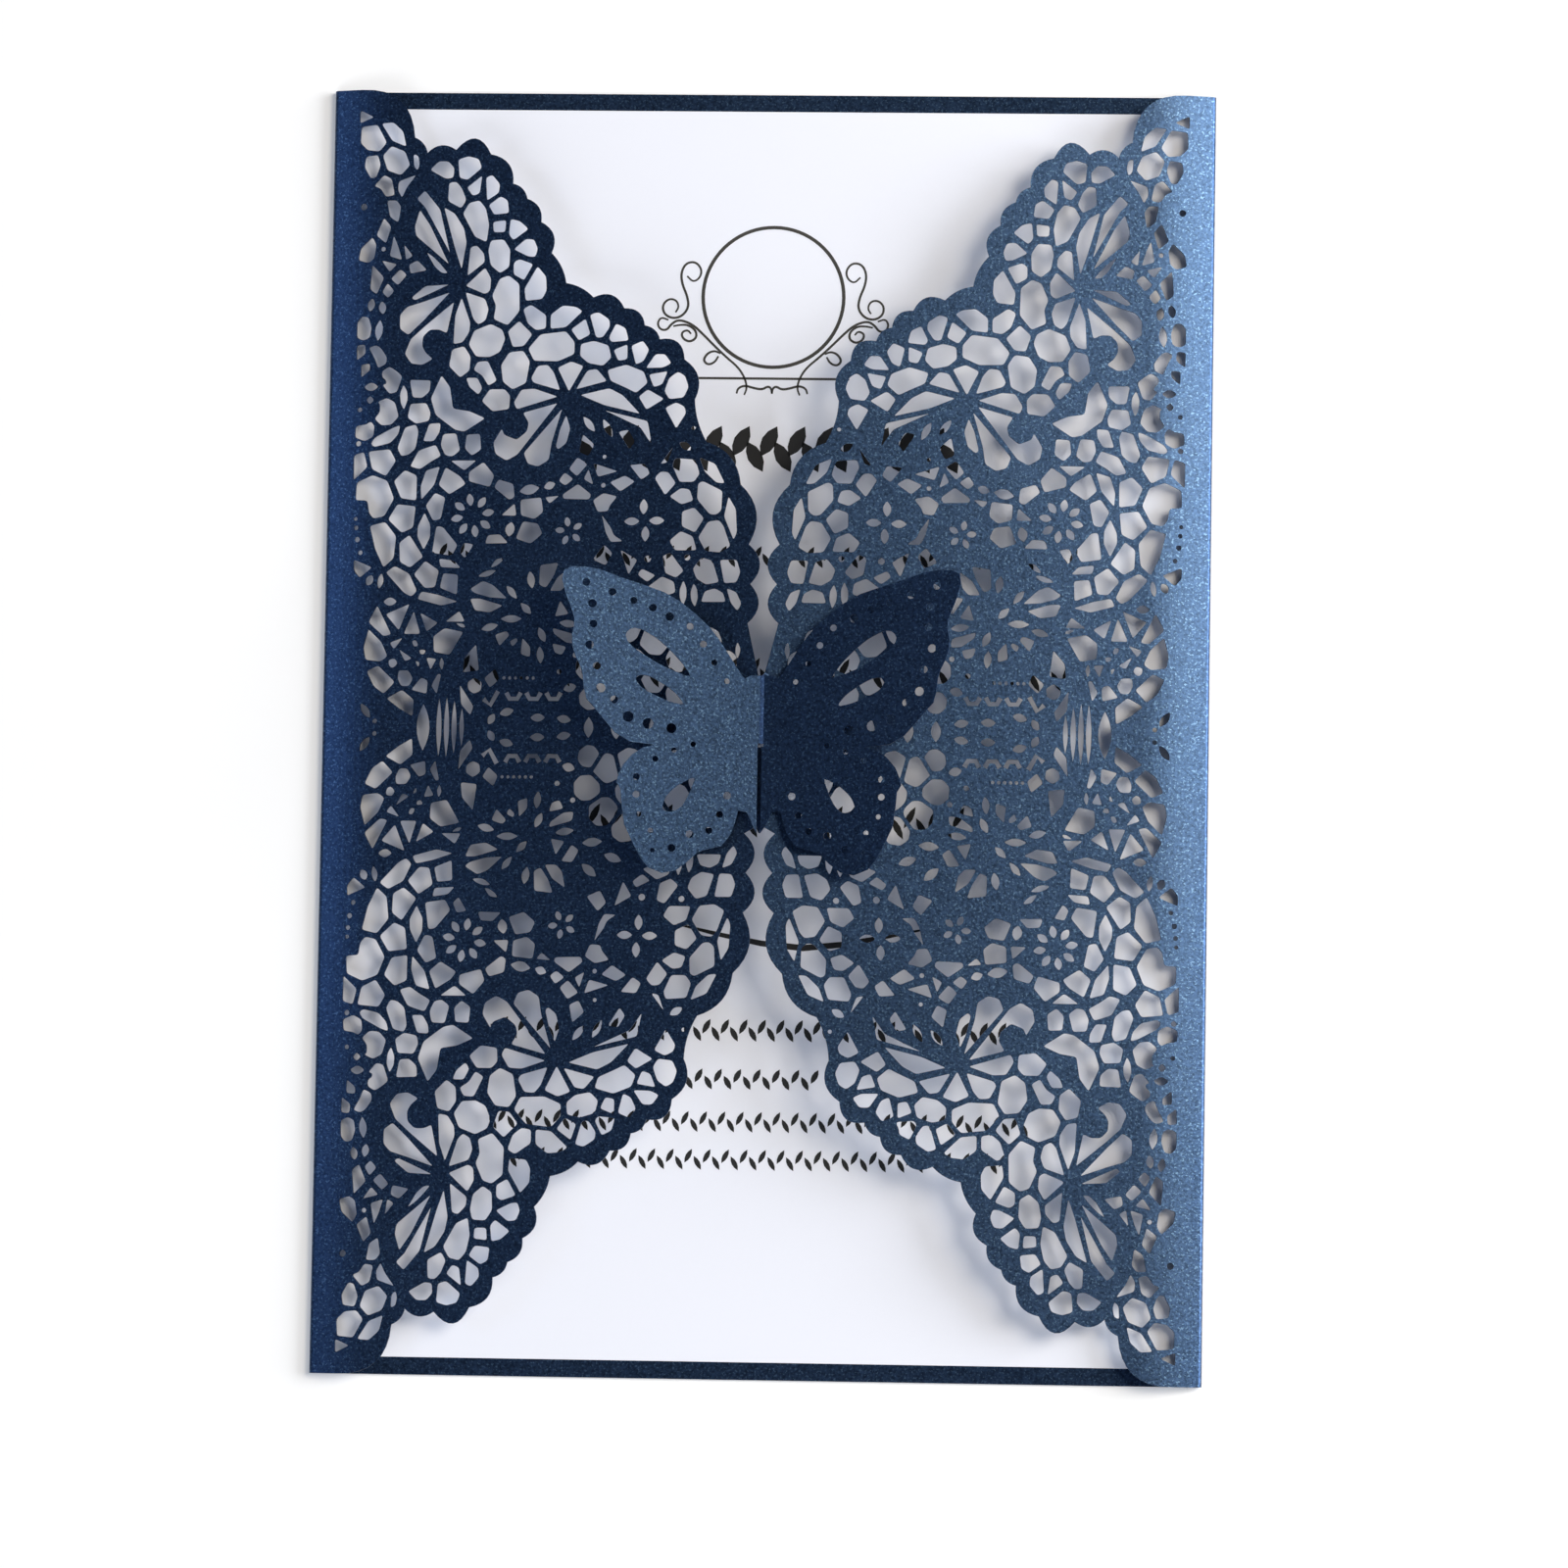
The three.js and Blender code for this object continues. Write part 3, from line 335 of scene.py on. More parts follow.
# Curved slits: each as the points of a cutter's way, all of one width.
SLITS = [
    [(-36.8, 5), (-36.3, 4.1), (-35.2, 4.1), (-34.7, 5)],
    [(-33.9, 5), (-33.4, 4.1), (-32.3, 4.1), (-31.8, 5)],
    [(-31, 5), (-30.5, 4.1), (-29.4, 4.1), (-28.9, 5)],
    [(-40.1, 4.1), (-39.1, 3.2), (-38, 5.2)],
]
SLIT_WIDTH = 0.7

# Pointed holes that lie across the middle line: x, length, width.
MIDDLE_LEAVES = [
    (-48.8, 6.8, 1.9), (-46.5, 8.6, 0.8), (-45.4, 8.8, 0.8), (-44.3, 7.8, 0.8),
    (-43.2, 5.6, 0.7), (-20.8, 3.4, 1.6), (-15.2, 4.4, 1.8), (-10.2, 3.4, 1.5),
    (-24.8, 3, 1.4), (-6, 3.6, 1.3),
]

# Round holes: x, y, radius.
DOTS = [
    (-59, 75.4, 0.5), (-56, 69.2, 0.35), (-59, 45.9, 0.35), (-59.1, 41, 0.4),
    (-23.2, 38.9, 0.3), (-23.3, 34.8, 0.35), (-10.4, 43, 0.3), (-16.7, 24.2, 0.5),
    (-11, 24.4, 0.45), (-59.3, 30.1, 0.3), (-59.2, 28.8, 0.35), (-59, 27.1, 0.4),
    (-58.5, 25.2, 0.35), (-55.9, 0.9, 0.35), (-29.2, 8, 0.4), (-26.9, 10.4, 0.4),
]
BEADS = [(-37.2 + 0.85 * k, 7.1, 0.26) for k in range(6)]

# Edge of a wing, drawn as the one on the left, from its neck's top to its foot.
WING_EDGE = [
    (-1.5, 7.4), (-2.4, 6.9), (-3.2, 8), (-4.5, 10), (-6, 12.3), (-7.5, 14.2),
    (-9.5, 16), (-11.5, 17.6), (-14, 19), (-17, 20), (-20, 20.9), (-23, 22),
    (-25, 22.3), (-27, 22.3), (-28.1, 21.7), (-28.3, 20.5), (-27.8, 18.5), (-27, 16.5),
    (-26.5, 15), (-26.5, 13.9), (-26.8, 12.5), (-26.7, 11), (-26.3, 9.7), (-25.6, 8.3),
    (-25.2, 7), (-25, 5), (-24.6, 3.5), (-23.6, 2.4), (-22, 0.5), (-20.5, -1.2),
    (-18.5, -2.4), (-16, -2.7), (-14.9, -2.8), (-16.5, -3.2), (-18, -4.2),
    (-19.3, -5.7), (-20, -7.3), (-20.2, -8.2), (-19.6, -9.2), (-19.4, -11.5),
    (-19, -14.2), (-17.6, -17.2), (-16.6, -19), (-15.6, -20.2), (-13.6, -21),
    (-11.7, -20.6), (-10.1, -19.4), (-8.7, -18), (-7.7, -17.6), (-5.3, -17),
    (-4.1, -15.4), (-3.4, -13.5), (-3, -11.9), (-1.8, -12.1), (-1, -13.8),
]
NECK_TOP, BODY_TIP = 7.4, -16
SLOT_OVERLAP = 0.25                                # each slot runs past the other's end
MOUTH_FLARE, MOUTH_RISE, MOUTH_DROP = 0.2, 0.6, 0.4  # notch where a slot opens
TIP_STEP = 1                                       # notch at the foot of the neck
WING_PETALS = [
    [(-19.4, 12.8), (-18.8, 11.5), (-17, 10.2), (-14.5, 8.7), (-12, 7.6), (-9.8, 6.9),
     (-11.3, 9), (-13, 10.8), (-15, 12.5), (-17.2, 13.7), (-18.5, 13.8)],
    [(-17.9, 6.6), (-17, 5.3), (-15.3, 4.4), (-13, 3.4), (-10.7, 2.9), (-12, 4.6),
     (-14, 6), (-15.8, 7), (-17.2, 7.1)],
    [(-9, -7.1), (-10.1, -10), (-11, -11.6), (-12.4, -12.4), (-13.9, -12),
     (-13.2, -10), (-11.5, -8.4)],
]
WING_DOTS = [
    (-24.9, 20.1, 0.5), (-21.2, 18.8, 0.5), (-18.2, 17.7, 0.45), (-15.5, 16.7, 0.5),
    (-13.1, 15.5, 0.55), (-10.2, 14.2, 0.45), (-8.3, 11.7, 0.45), (-6.7, 9.1, 0.4),
    (-4.9, 6.5, 0.35), (-24, 17.1, 0.55), (-23.8, 14.2, 0.5), (-24.3, 11.2, 0.55),
    (-23.2, 8.2, 0.5), (-22.6, 5.1, 0.6), (-20.7, 3.5, 0.5), (-18.7, 1.1, 0.7),
    (-15.9, 0.2, 0.7), (-12.6, -0.4, 0.65), (-9.5, -2.6, 0.35), (-12.2, -3.5, 0.35),
    (-14.8, -4.8, 0.4), (-17.4, -7.4, 0.45), (-17.4, -9.9, 0.45), (-17, -12.7, 0.35),
    (-15.3, -15, 0.35), (-15, -17.8, 0.3), (-12.3, -17.4, 0.5), (-9.8, -15.4, 0.5),
    (-7.1, -14.8, 0.45), (-5.6, -12.5, 0.45), (-4.6, -9.8, 0.5),
]


# Sizes and colours that a user would change
def length(name, words, default):
    """A size in metres."""
    return FloatProperty(name=name, description=words, default=default, unit="LENGTH",
                         precision=5)


def slope(name, words, degrees):
    """A slope of the sheet."""
    return FloatProperty(name=name, description=words, default=math.radians(degrees),
                         unit="ROTATION")


def colour(name, words, default):
    """A plain colour."""
    return FloatVectorProperty(name=name, description=words, default=default, size=3,
                               subtype="COLOR", min=0.0, max=1.0)


class CardSheetSettings(PropertyGroup):
    """Sizes and colour of the folded sheet."""
    width: length("Panel width", "Back panel across the folds", 0.127)
    height: length("Panel height", "Back panel along the folds", 0.185)
    thickness: length("Sheet thickness", "Thickness of the pearl card", 0.0003)
    fold_radius: length("Fold radius", "Mid-sheet radius of the folds", 0.00055)
    fold_steps: IntProperty(name="Fold steps", description="Flats in each fold", default=14)
    strip: length("Strip width", "Curved strip beside the fold", 0.0085)
    strip_slope: slope("Strip slope", "Rise of the strip from the fold", 19.0)
    gate_slope: slope("Gate slope", "Rise of the lace beside the strip", 7.3)
    gate_end_slope: slope("Gate end slope", "Rise of the lace at the middle", 5.1)
    neck_reach: length("Neck reach", "Half length of the neck", 0.00027)
    neck_slope: slope("Neck slope", "Slope where the gates cross", 60.0)
    wing_slope: slope("Wing slope", "Slope of a wing beside the neck", 8.2)
    wing_tip_slope: slope("Wing tip slope", "Slope of a wing at its tip", 11.2)
    wing_reach: length("Wing reach", "Length of a wing from the middle", 0.029)
    slot_half_width: length("Slot half width", "Half width of the slots", 0.00042)
    slot_middle: length("Slot middle", "Height where the two slots meet", -0.0025)
    rib: length("Rib width", "Lace between two holes", 0.00055)
    colour: colour("Pearl colour", "Colour of the pearl card", (0.034, 0.066, 0.136))


class CardInsertSettings(PropertyGroup):
    """Sizes and colours of the inner card and its print."""
    width: length("Inner card width", "Inner card across", 0.121)
    height: length("Inner card height", "Inner card along", 0.180)
    thickness: length("Inner card thickness", "Thickness of the inner card", 0.0003)
    rest: length("Rest height", "Underside above the back panel", 0.00015)
    colour: colour("Inner card colour", "Colour of the inner card", (0.87, 0.885, 0.955))
    ink: colour("Ink colour", "Colour of the printed ornament", (0.005, 0.005, 0.006))
    line: colour("Fine line colour", "Colour of the fine line ornament", (0.035, 0.032, 0.028))


class CardStageSettings(PropertyGroup):
    """Camera, lamps and floor."""
    camera_place: FloatVectorProperty(
        name="Camera place", description="Where the camera stands", size=3,
        default=(0.0554, -0.0825, 1.0007), unit="LENGTH")
    camera_turn: FloatVectorProperty(
        name="Camera turn", description="How the camera is turned", size=3,
        default=(0.0758, 0.0512, 0.0160), unit="ROTATION")
    camera_angle: FloatProperty(name="Camera angle", description="Field of view",
                                default=math.radians(12.77), unit="ROTATION")
    floor_colour: colour("Floor colour", "Colour of the floor", (0.9, 0.9, 0.9))
    floor_lift: FloatProperty(name="Floor lift",
                              description="Glow of the floor that only the camera sees",
                              default=0.15)
    key_power: FloatProperty(name="Key lamp", description="Power of the right lamp",
                             default=27.5, unit="POWER")
    fill_power: FloatProperty(name="Fill lamp", description="Power of the left lamp",
                              default=0.95, unit="POWER")
    foot_power: FloatProperty(name="Foot lamp", description="Power of the lamp at the foot",
                              default=8.0, unit="POWER")
    sheen_power: FloatProperty(name="Sheen lamp", description="Power of the upper right lamp",
                               default=8.5, unit="POWER")
    sky: FloatProperty(name="Sky", description="Strength of the light all round",
                       default=0.07)


# Flat shapes
def leaf(x, y, long, wide, degrees, steps=6):
    """A hole pointed at both ends."""
    c, s = math.cos(math.radians(degrees)), math.sin(math.radians(degrees))
    points = []
    for sign in (1, -1):
        for k in range(steps):
            t = k / steps
            along = sign * (t - 0.5) * long
            out = sign * 2.0 * wide * t * (1.0 - t)
            points.append((x + c * along + s * out, y + s * along - c * out))
    return points


def dot(x, y, r, steps=10):
    """A round hole."""
    turn = 2 * math.pi / steps
    return [(x + r * math.cos(k * turn), y + r * math.sin(k * turn)) for k in range(steps)]


def stroke(points, width, taper=0.0):
    """Outline of a pen stroke along points, thinner towards its ends by taper."""
    left, right = [], []
    last = len(points) - 1
    for i, p in enumerate(points):
        before, after = points[max(i - 1, 0)], points[min(i + 1, last)]
        dx, dy = after[0] - before[0], after[1] - before[1]
        run = math.hypot(dx, dy) or 1.0
        t = i / last
        half = width / 2 * (1 - taper * abs(2 * t - 1) ** 2)
        left.append((p[0] - dy / run * half, p[1] + dx / run * half))
        right.append((p[0] + dy / run * half, p[1] - dx / run * half))
    return left + right[::-1]


def toward(a, b, share):
    """The point that lies share of the way from a to b."""
    return (a[0] + (b[0] - a[0]) * share, a[1] + (b[1] - a[1]) * share)


def rounded(polygon, radius, steps=2):
    """The polygon with its corners cut to short curves."""
    points = []
    for i, corner in enumerate(polygon):
        before, after = polygon[i - 1], polygon[(i + 1) % len(polygon)]
        start = toward(corner, before, min(CORNER_SHARE, radius / math.dist(corner, before)))
        end = toward(corner, after, min(CORNER_SHARE, radius / math.dist(corner, after)))
        for k in range(steps + 1):
            t = k / steps
            points.append(toward(toward(start, corner, t), toward(corner, end, t), t))
    return points


def clipped(polygon, px, py, nx, ny):
    """The part of a polygon behind a line through (px, py) with normal (nx, ny)."""
    kept = []
    side = [(x - px) * nx + (y - py) * ny for x, y in polygon]
    for i, a in enumerate(polygon):
        j = (i + 1) % len(polygon)
        b, da, db = polygon[j], side[i], side[j]
        if da <= 0:
            kept.append(a)
        if da * db < 0:
            kept.append(toward(a, b, da / (da - db)))
    return kept


def thinned(polygon, least):
    """Drops corners that nearly coincide."""
    return [p for i, p in enumerate(polygon)
            if math.dist(p, polygon[(i + 1) % len(polygon)]) > least]


def to_side(point, a, b):
    """Distance from a point to the side that runs from a to b."""
    dx, dy = b[0] - a[0], b[1] - a[1]
    along = ((point[0] - a[0]) * dx + (point[1] - a[1]) * dy) / (dx * dx + dy * dy)
    return math.dist(point, toward(a, b, min(1.0, max(0.0, along))))


def spread(polygon, others, rib, most):
    """The polygon with every side moved out until the lace beyond it is a rib wide."""
    area = sum(a[0] * b[1] - a[1] * b[0] for a, b in zip(polygon, polygon[1:] + polygon[:1]))
    way = 1.0 if area > 0 else -1.0
    sides = []
    for i, a in enumerate(polygon):
        b = polygon[(i + 1) % len(polygon)]
        run = math.dist(a, b)
        nx, ny = way * (b[1] - a[1]) / run, -way * (b[0] - a[0]) / run
        free = rib + 2 * most
        for other in others:
            for k, q in enumerate(other):
                if (q[0] - a[0]) * nx + (q[1] - a[1]) * ny > 0:
                    free = min(free, to_side(q, a, b))
                r = other[k - 1]
                for end in (a, b):
                    if (q[0] - end[0]) * nx + (q[1] - end[1]) * ny > 0:
                        free = min(free, to_side(end, r, q))
        sides.append((nx, ny, max(0.0, (free - rib) / 2)))
    points = []
    for i, corner in enumerate(polygon):
        (ax, ay, p), (bx, by, q) = sides[i - 1], sides[i]
        cross = ax * by - ay * bx
        if abs(cross) < FLAT_CORNER:
            move = (p + q) / 2
            points.append((corner[0] + (ax + bx) / 2 * move, corner[1] + (ay + by) / 2 * move))
            continue
        out = ((p * by - q * ay) / cross, (q * ax - p * bx) / cross)
        size = math.hypot(*out)
        limit = min(1.0, LONGEST_MOVE * max(p, q) / size) if size > 0 else 1.0
        points.append((corner[0] + out[0] * limit, corner[1] + out[1] * limit))
    return points


def spread_all(polygons, rib, most):
    """Every polygon spread towards its neighbours."""
    boxes = [(min(x for x, _ in p), min(y for _, y in p), max(x for x, _ in p),
              max(y for _, y in p)) for p in polygons]
    reach = rib + 2 * most
    result = []
    for polygon, (x0, y0, x1, y1) in zip(polygons, boxes):
        near = [other for other, (u0, v0, u1, v1) in zip(polygons, boxes)
                if other is not polygon and u0 < x1 + reach and u1 > x0 - reach
                and v0 < y1 + reach and v1 > y0 - reach]
        result.append(spread(polygon, near, rib, most))
    return result


def net_cell(x, y, r, rib):
    """One cell of the net, cut back by half a rib from every neighbour."""
    polygon = [(x + CELL_REACH * r * math.cos(k * math.pi / 4 + x),
                y + CELL_REACH * r * math.sin(k * math.pi / 4 + x)) for k in range(8)]
    for u, v, q in CELLS:
        d = math.hypot(u - x, v - y)
        if d == 0 or d > CELL_VIEW * (r + q):
            continue
        reach = d / 2 + (r * r - q * q) / (2 * d) - rib / 2
        nx, ny = (u - x) / d, (v - y) / d
        polygon = clipped(polygon, x + nx * reach, y + ny * reach, nx, ny)
    return polygon


def gate_holes(sheet):
    """Every hole of the left gate and of the wing beyond it, in millimetres."""
    rib = sheet.rib / MM
    cells = [thinned(net_cell(*values, rib), LEAST_SIDE) for values in CELLS]
    leaves = [leaf(*values, steps=3) for values in LEAVES]
    for x, y, count, reach, long, wide, turn in FLOWERS:
        for k in range(count):
            degrees = turn + 360 * k / count
            a = math.radians(degrees)
            leaves.append(leaf(x + reach * math.cos(a), y + reach * math.sin(a), long, wide,
                               degrees, steps=3))
    quarter = [rounded(p, HOLE_ROUNDING) for p in
               spread_all(NET + SIDE_NET + cells + PETALS + leaves, rib, SPREAD)]
    quarter += [dot(*values) for values in DOTS + BEADS]
    quarter += [stroke(way, SLIT_WIDTH) for way in SLITS]
    holes = quarter + [[(x, -y) for x, y in hole] for hole in quarter]
    holes += [leaf(x, 0, long, wide, 90, steps=8) for x, long, wide in MIDDLE_LEAVES]
    wing = [rounded(p, WING_ROUNDING) for p in WING_PETALS]
    wing += [dot(x, y, WING_DOT_SCALE * r) for x, y, r in WING_DOTS]
    return holes + [[(-x, y) for x, y in hole] for hole in wing]


def lobe(start, end, steps):
    """Points of the arc from one notch of the edge to the next."""
    (x0, y0, height), (x1, y1, _) = start, end
    chord = math.hypot(x1 - x0, y1 - y0)
    points = []
    for k in range(steps):
        t = k / steps
        out = 4 * height * t * (1 - t) / chord
        points.append((x0 + (x1 - x0) * t - (y1 - y0) * out,
                       y0 + (y1 - y0) * t + (x1 - x0) * out))
    return points


def gate_outline(sheet, slot_at_top):
    """Edge of the left gate and its wing, from the fold's top end to its foot."""
    upper = []
    for start, end in zip(LOBES, LOBES[1:]):
        upper += lobe(start, end, LOBE_STEPS)
    upper.append(LOBES[-1][:2])
    lower = [(x, -y) for x, y in reversed(upper)]
    wing = [(-x, y) for x, y in WING_EDGE]
    s = sheet.slot_half_width / MM
    end = sheet.slot_middle / MM + (-SLOT_OVERLAP if slot_at_top else SLOT_OVERLAP)
    if slot_at_top:
        top = [(-s - MOUTH_FLARE, NECK_TOP + MOUTH_RISE), (-s, NECK_TOP - MOUTH_DROP),
               (-s, end), (s, end), (s, NECK_TOP)]
        foot = [(0, BODY_TIP + TIP_STEP), (-s, BODY_TIP + 2 * TIP_STEP)]
    else:
        top = [(-s, NECK_TOP + MOUTH_RISE), (0, NECK_TOP)]
        foot = [(s, BODY_TIP + TIP_STEP), (s, end), (-s, end),
                (-s, BODY_TIP + 2 * TIP_STEP)]
    return upper + top + wing + foot + lower


def filled(bm, loops):
    """Fills a bmesh between an outer loop and the holes in it, all flat."""
    edges = []
    for loop in loops:
        corners = [bm.verts.new((x, y, 0.0)) for x, y in loop]
        edges += [bm.edges.new((corners[i - 1], corner)) for i, corner in enumerate(corners)]
    bmesh.ops.triangle_fill(bm, use_beauty=True, edges=edges, normal=(0, 0, 1))


# Folding
class FoldPath:
    """The way the sheet's middle surface runs, from the panel's middle outwards."""

    def __init__(self, sheet):
        radius, middle = sheet.fold_radius, sheet.thickness / 2
        turn = math.pi - sheet.strip_slope
        fold_start, fold_length = sheet.width / 2 - radius, radius * turn
        self.gate_start = fold_start + fold_length
        self.stations = [(0.0, 0.0, middle)]
        for k in range(sheet.fold_steps + 1):
            a = -math.pi / 2 + turn * k / sheet.fold_steps
            self.stations.append((fold_start + fold_length * k / sheet.fold_steps,
                                  fold_start + radius * math.cos(a),
                                  middle + radius * (1 + math.sin(a))))
        # from the fold's end to the card's middle line
        self.across = self.stations[-1][1]
        neck, wing = self.across - sheet.neck_reach, self.across + sheet.neck_reach
        flats = self.curve(0.0, sheet.strip, sheet.strip_slope, sheet.gate_slope)
        flats += self.curve(sheet.strip, neck, sheet.gate_slope, sheet.gate_end_slope)
        flats.append((wing, sheet.neck_slope))
        flats += self.curve(wing, self.across + sheet.wing_reach, sheet.wing_slope,
                            sheet.wing_tip_slope)
        reach = 0.0
        for end, angle in flats:
            _, x, z = self.stations[-1]
            run = end - reach
            self.stations.append((self.gate_start + end, x - run, z + run * math.tan(angle)))
            reach = end

    @staticmethod
    def curve(start, end, first, last, steps=8):
        """Flats of a stretch whose slope changes evenly from first to last."""
        return [(start + (end - start) * (k + 1) / steps,
                 first + (last - first) * (k + 0.5) / steps) for k in range(steps)]

    def bends(self):
        """Places on the flat sheet where it bends."""
        return [u for u, _, _ in self.stations[1:-1]]

    def place(self, u, y):
        """Folded place of a point of the flat sheet."""
        side = -1.0 if u < 0 else 1.0
        reach = abs(u)
        for (u0, x0, z0), (u1, x1, z1) in zip(self.stations, self.stations[1:]):
            if reach <= u1:
                break
        t = (reach - u0) / (u1 - u0)
        return Vector((side * (x0 + (x1 - x0) * t), y, z0 + (z1 - z0) * t))


# Materials
class Reading:
    """A value in a material, so that sums of values can be written as sums."""

    def __init__(self, finish, socket):
        self.finish, self.socket = finish, socket

    def _join(self, operation, a, b):
        return self.finish.node("ShaderNodeMath", {"operation": operation}, {0: a, 1: b})

    def __add__(self, other):
        return self._join("ADD", self, other)

    def __radd__(self, other):
        return self._join("ADD", other, self)

    def __sub__(self, other):
        return self._join("SUBTRACT", self, other)

    def __mul__(self, other):
        return self._join("MULTIPLY", self, other)


class Finish:
    """A material and the nodes put into it."""

    def __init__(self, name):
        self.material = bpy.data.materials.new(name)
        self.material.use_nodes = True
        self.tree = self.material.node_tree
        self.shader = self.tree.nodes["Principled BSDF"]

    def node(self, kind, settings=None, sockets=None, output=0):
        """Adds a node: its settings first, then the values or links of its sockets."""
        node = self.tree.nodes.new(kind)
        for name, value in (settings or {}).items():
            setattr(node, name, value)
        for name, value in (sockets or {}).items():
            self.put(node.inputs[name], value)
        return Reading(self, node.outputs[output])

    def put(self, socket, value):
        """Sets a socket or links it."""
        if isinstance(value, Reading):
            self.tree.links.new(value.socket, socket)
        else:
            socket.default_value = value

    def set(self, **values):
        """Sets or links sockets of the shader, named with _ for a space."""
        for name, value in values.items():
            self.put(self.shader.inputs[name.replace("_", " ")], value)

    def place(self):
        """Where a point is on the object."""
        return self.node("ShaderNodeTexCoord", output="Object")

    def noise(self, scale, detail=2.0, roughness=0.5):
        """Cloudy pattern, about 1 / scale metres across."""
        return self.node("ShaderNodeTexNoise", {},
                         {"Vector": self.place(), "Scale": scale, "Detail": detail,
                          "Roughness": roughness}, "Fac")

    def blend(self, share, a, b):
        """Colour between a and b."""
        return self.node("ShaderNodeMix", {"data_type": "RGBA"},
                         {0: share, 6: a, 7: b}, 2)

    def seen_from_camera(self, rgb):
        """A colour for what the camera sees itself, black for all other light."""
        seen = self.node("ShaderNodeLightPath", output="Is Camera Ray")
        return self.blend(seen, (0, 0, 0, 1), shade(rgb))

    def bump(self, height, strength, distance):
        """Small relief."""
        return self.node("ShaderNodeBump", {},
                         {"Height": height, "Strength": strength, "Distance": distance},
                         "Normal")


def shade(rgb, factor=1.0):
    """A colour value for a socket."""
    return (*[min(1.0, c * factor) for c in rgb], 1.0)


def pearl_finish(name, base):
    """Pearl card: a dyed card with mica grain that catches the light."""
    finish = Finish(name)
    grain = finish.noise(2300.0, 2.0, 0.6)
    clouds = finish.noise(60.0, 3.0)
    speck = finish.noise(3000.0, 1.0, 0.6)
    tint = finish.blend((grain - 0.5) * 2.6 + 0.5, shade(base, 0.65), shade(base, 1.4))
    fleck = (base[0] * 3.0, base[1] * 2.8, base[2] * 2.3)
    finish.set(Base_Color=finish.blend((speck - 0.58) * 8.0, tint, shade(fleck)),
               Metallic=0.86 + clouds * 0.14,
               Roughness=0.27 + grain * 0.14,
               Normal=finish.bump(grain + speck * 0.6, 0.6, 0.00003))
    return finish.material


def white_card_finish(name, base):
    """Smooth white card with a faint tooth."""
    finish = Finish(name)
    tooth = finish.noise(3200.0, 3.0, 0.6)
    clouds = finish.noise(25.0, 2.0)
    finish.set(Base_Color=finish.blend(tooth * 0.4 + clouds * 0.2, shade(base, 0.97),
                                       shade(base, 1.02)),
               Roughness=0.48 + tooth * 0.12,
               Normal=finish.bump(tooth, 0.25, 0.00002))
    return finish.material


def ink_finish(name, base):
    """Printed ink that follows the card's tooth."""
    finish = Finish(name)
    tooth = finish.noise(2600.0, 3.0, 0.6)
    finish.set(Base_Color=finish.blend(tooth, shade(base, 0.8), shade(base, 1.3)),
               Roughness=0.5 + tooth * 0.15,
               Normal=finish.bump(tooth, 0.2, 0.00001))
    return finish.material


def add_piece(name, bm, material):
    """Turns a bmesh into a piece that lies in the frame and rides on the card."""
    mesh = bpy.data.meshes.new(name)
    bm.to_mesh(mesh)
    bm.free()
    mesh.materials.append(material)
    piece = bpy.data.objects.new(name, mesh)
    bpy.context.scene.collection.objects.link(piece)
    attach(piece, ROOT)
    return piece


# Folded sheet
def flat_cover(sheet, path):
    """The whole cut sheet before folding, as a flat bmesh in millimetres."""
    shift = (path.gate_start + path.across) / MM
    right, left = [[(side * (x + shift), y) for x, y in gate_outline(sheet, side < 0)]
                   for side in (1, -1)]
    loops = [right + left[::-1]]
    for side in (1, -1):
        loops += [[(side * (x + shift), y) for x, y in hole] for hole in gate_holes(sheet)]
    bm = bmesh.new()
    filled(bm, loops)
    return bm


CUT_TOLERANCE = 1e-4


class CARD_OT_cover(Operator):
    """Cuts, folds and finishes the pearl sheet with its lace gates and wings"""
    bl_idname = "card.cover"
    bl_label = "Folded Sheet"

    def execute(self, context):
        sheet = context.scene.card_sheet
        path = FoldPath(sheet)
        bm = flat_cover(sheet, path)
        for bend in path.bends():
            for side in (1, -1):
                bmesh.ops.bisect_plane(
                    bm, geom=bm.verts[:] + bm.edges[:] + bm.faces[:], dist=CUT_TOLERANCE,
                    plane_co=(side * bend / MM, 0, 0), plane_no=(1, 0, 0))
        for vert in bm.verts:
            vert.co = path.place(vert.co.x * MM, vert.co.y * MM)
        panel = [f for f in bm.faces if f.calc_center_median().z < sheet.thickness]
        if sum(f.normal.z * f.calc_area() for f in panel) < 0:
            bmesh.ops.reverse_faces(bm, faces=bm.faces[:])
        material = pearl_finish("pearl_card", sheet.colour)
        cover = add_piece("pearl_cover", bm, material)
        wall = cover.modifiers.new("Sheet thickness", "SOLIDIFY")
        wall.thickness = sheet.thickness
        wall.offset = 0.0
        wall.use_even_offset = True
        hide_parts("gatefold_cover")
        return {"FINISHED"}


# Inner card and its print
CARD_EDGE = 0.00004


class CARD_OT_insert(Operator):
    """Makes the white inner card that lies on the back panel"""
    bl_idname = "card.insert"
    bl_label = "Inner Card"

    def execute(self, context):
        insert = context.scene.card_insert
        sheet = context.scene.card_sheet
        middle = sheet.thickness + insert.rest + insert.thickness / 2
        bm = bmesh.new()
        bmesh.ops.create_cube(bm, size=1.0)
        bmesh.ops.scale(bm, vec=(insert.width, insert.height, insert.thickness),
                        verts=bm.verts[:])
        bmesh.ops.bevel(bm, geom=bm.edges[:], offset=CARD_EDGE, affect="EDGES", segments=2,
                        profile=0.5, material=-1)
        bmesh.ops.translate(bm, vec=(0, 0, middle), verts=bm.verts[:])
        piece = add_piece("inner_card", bm,
                          white_card_finish("white_card", insert.colour))
        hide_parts("insert_card")
        return {"FINISHED"}


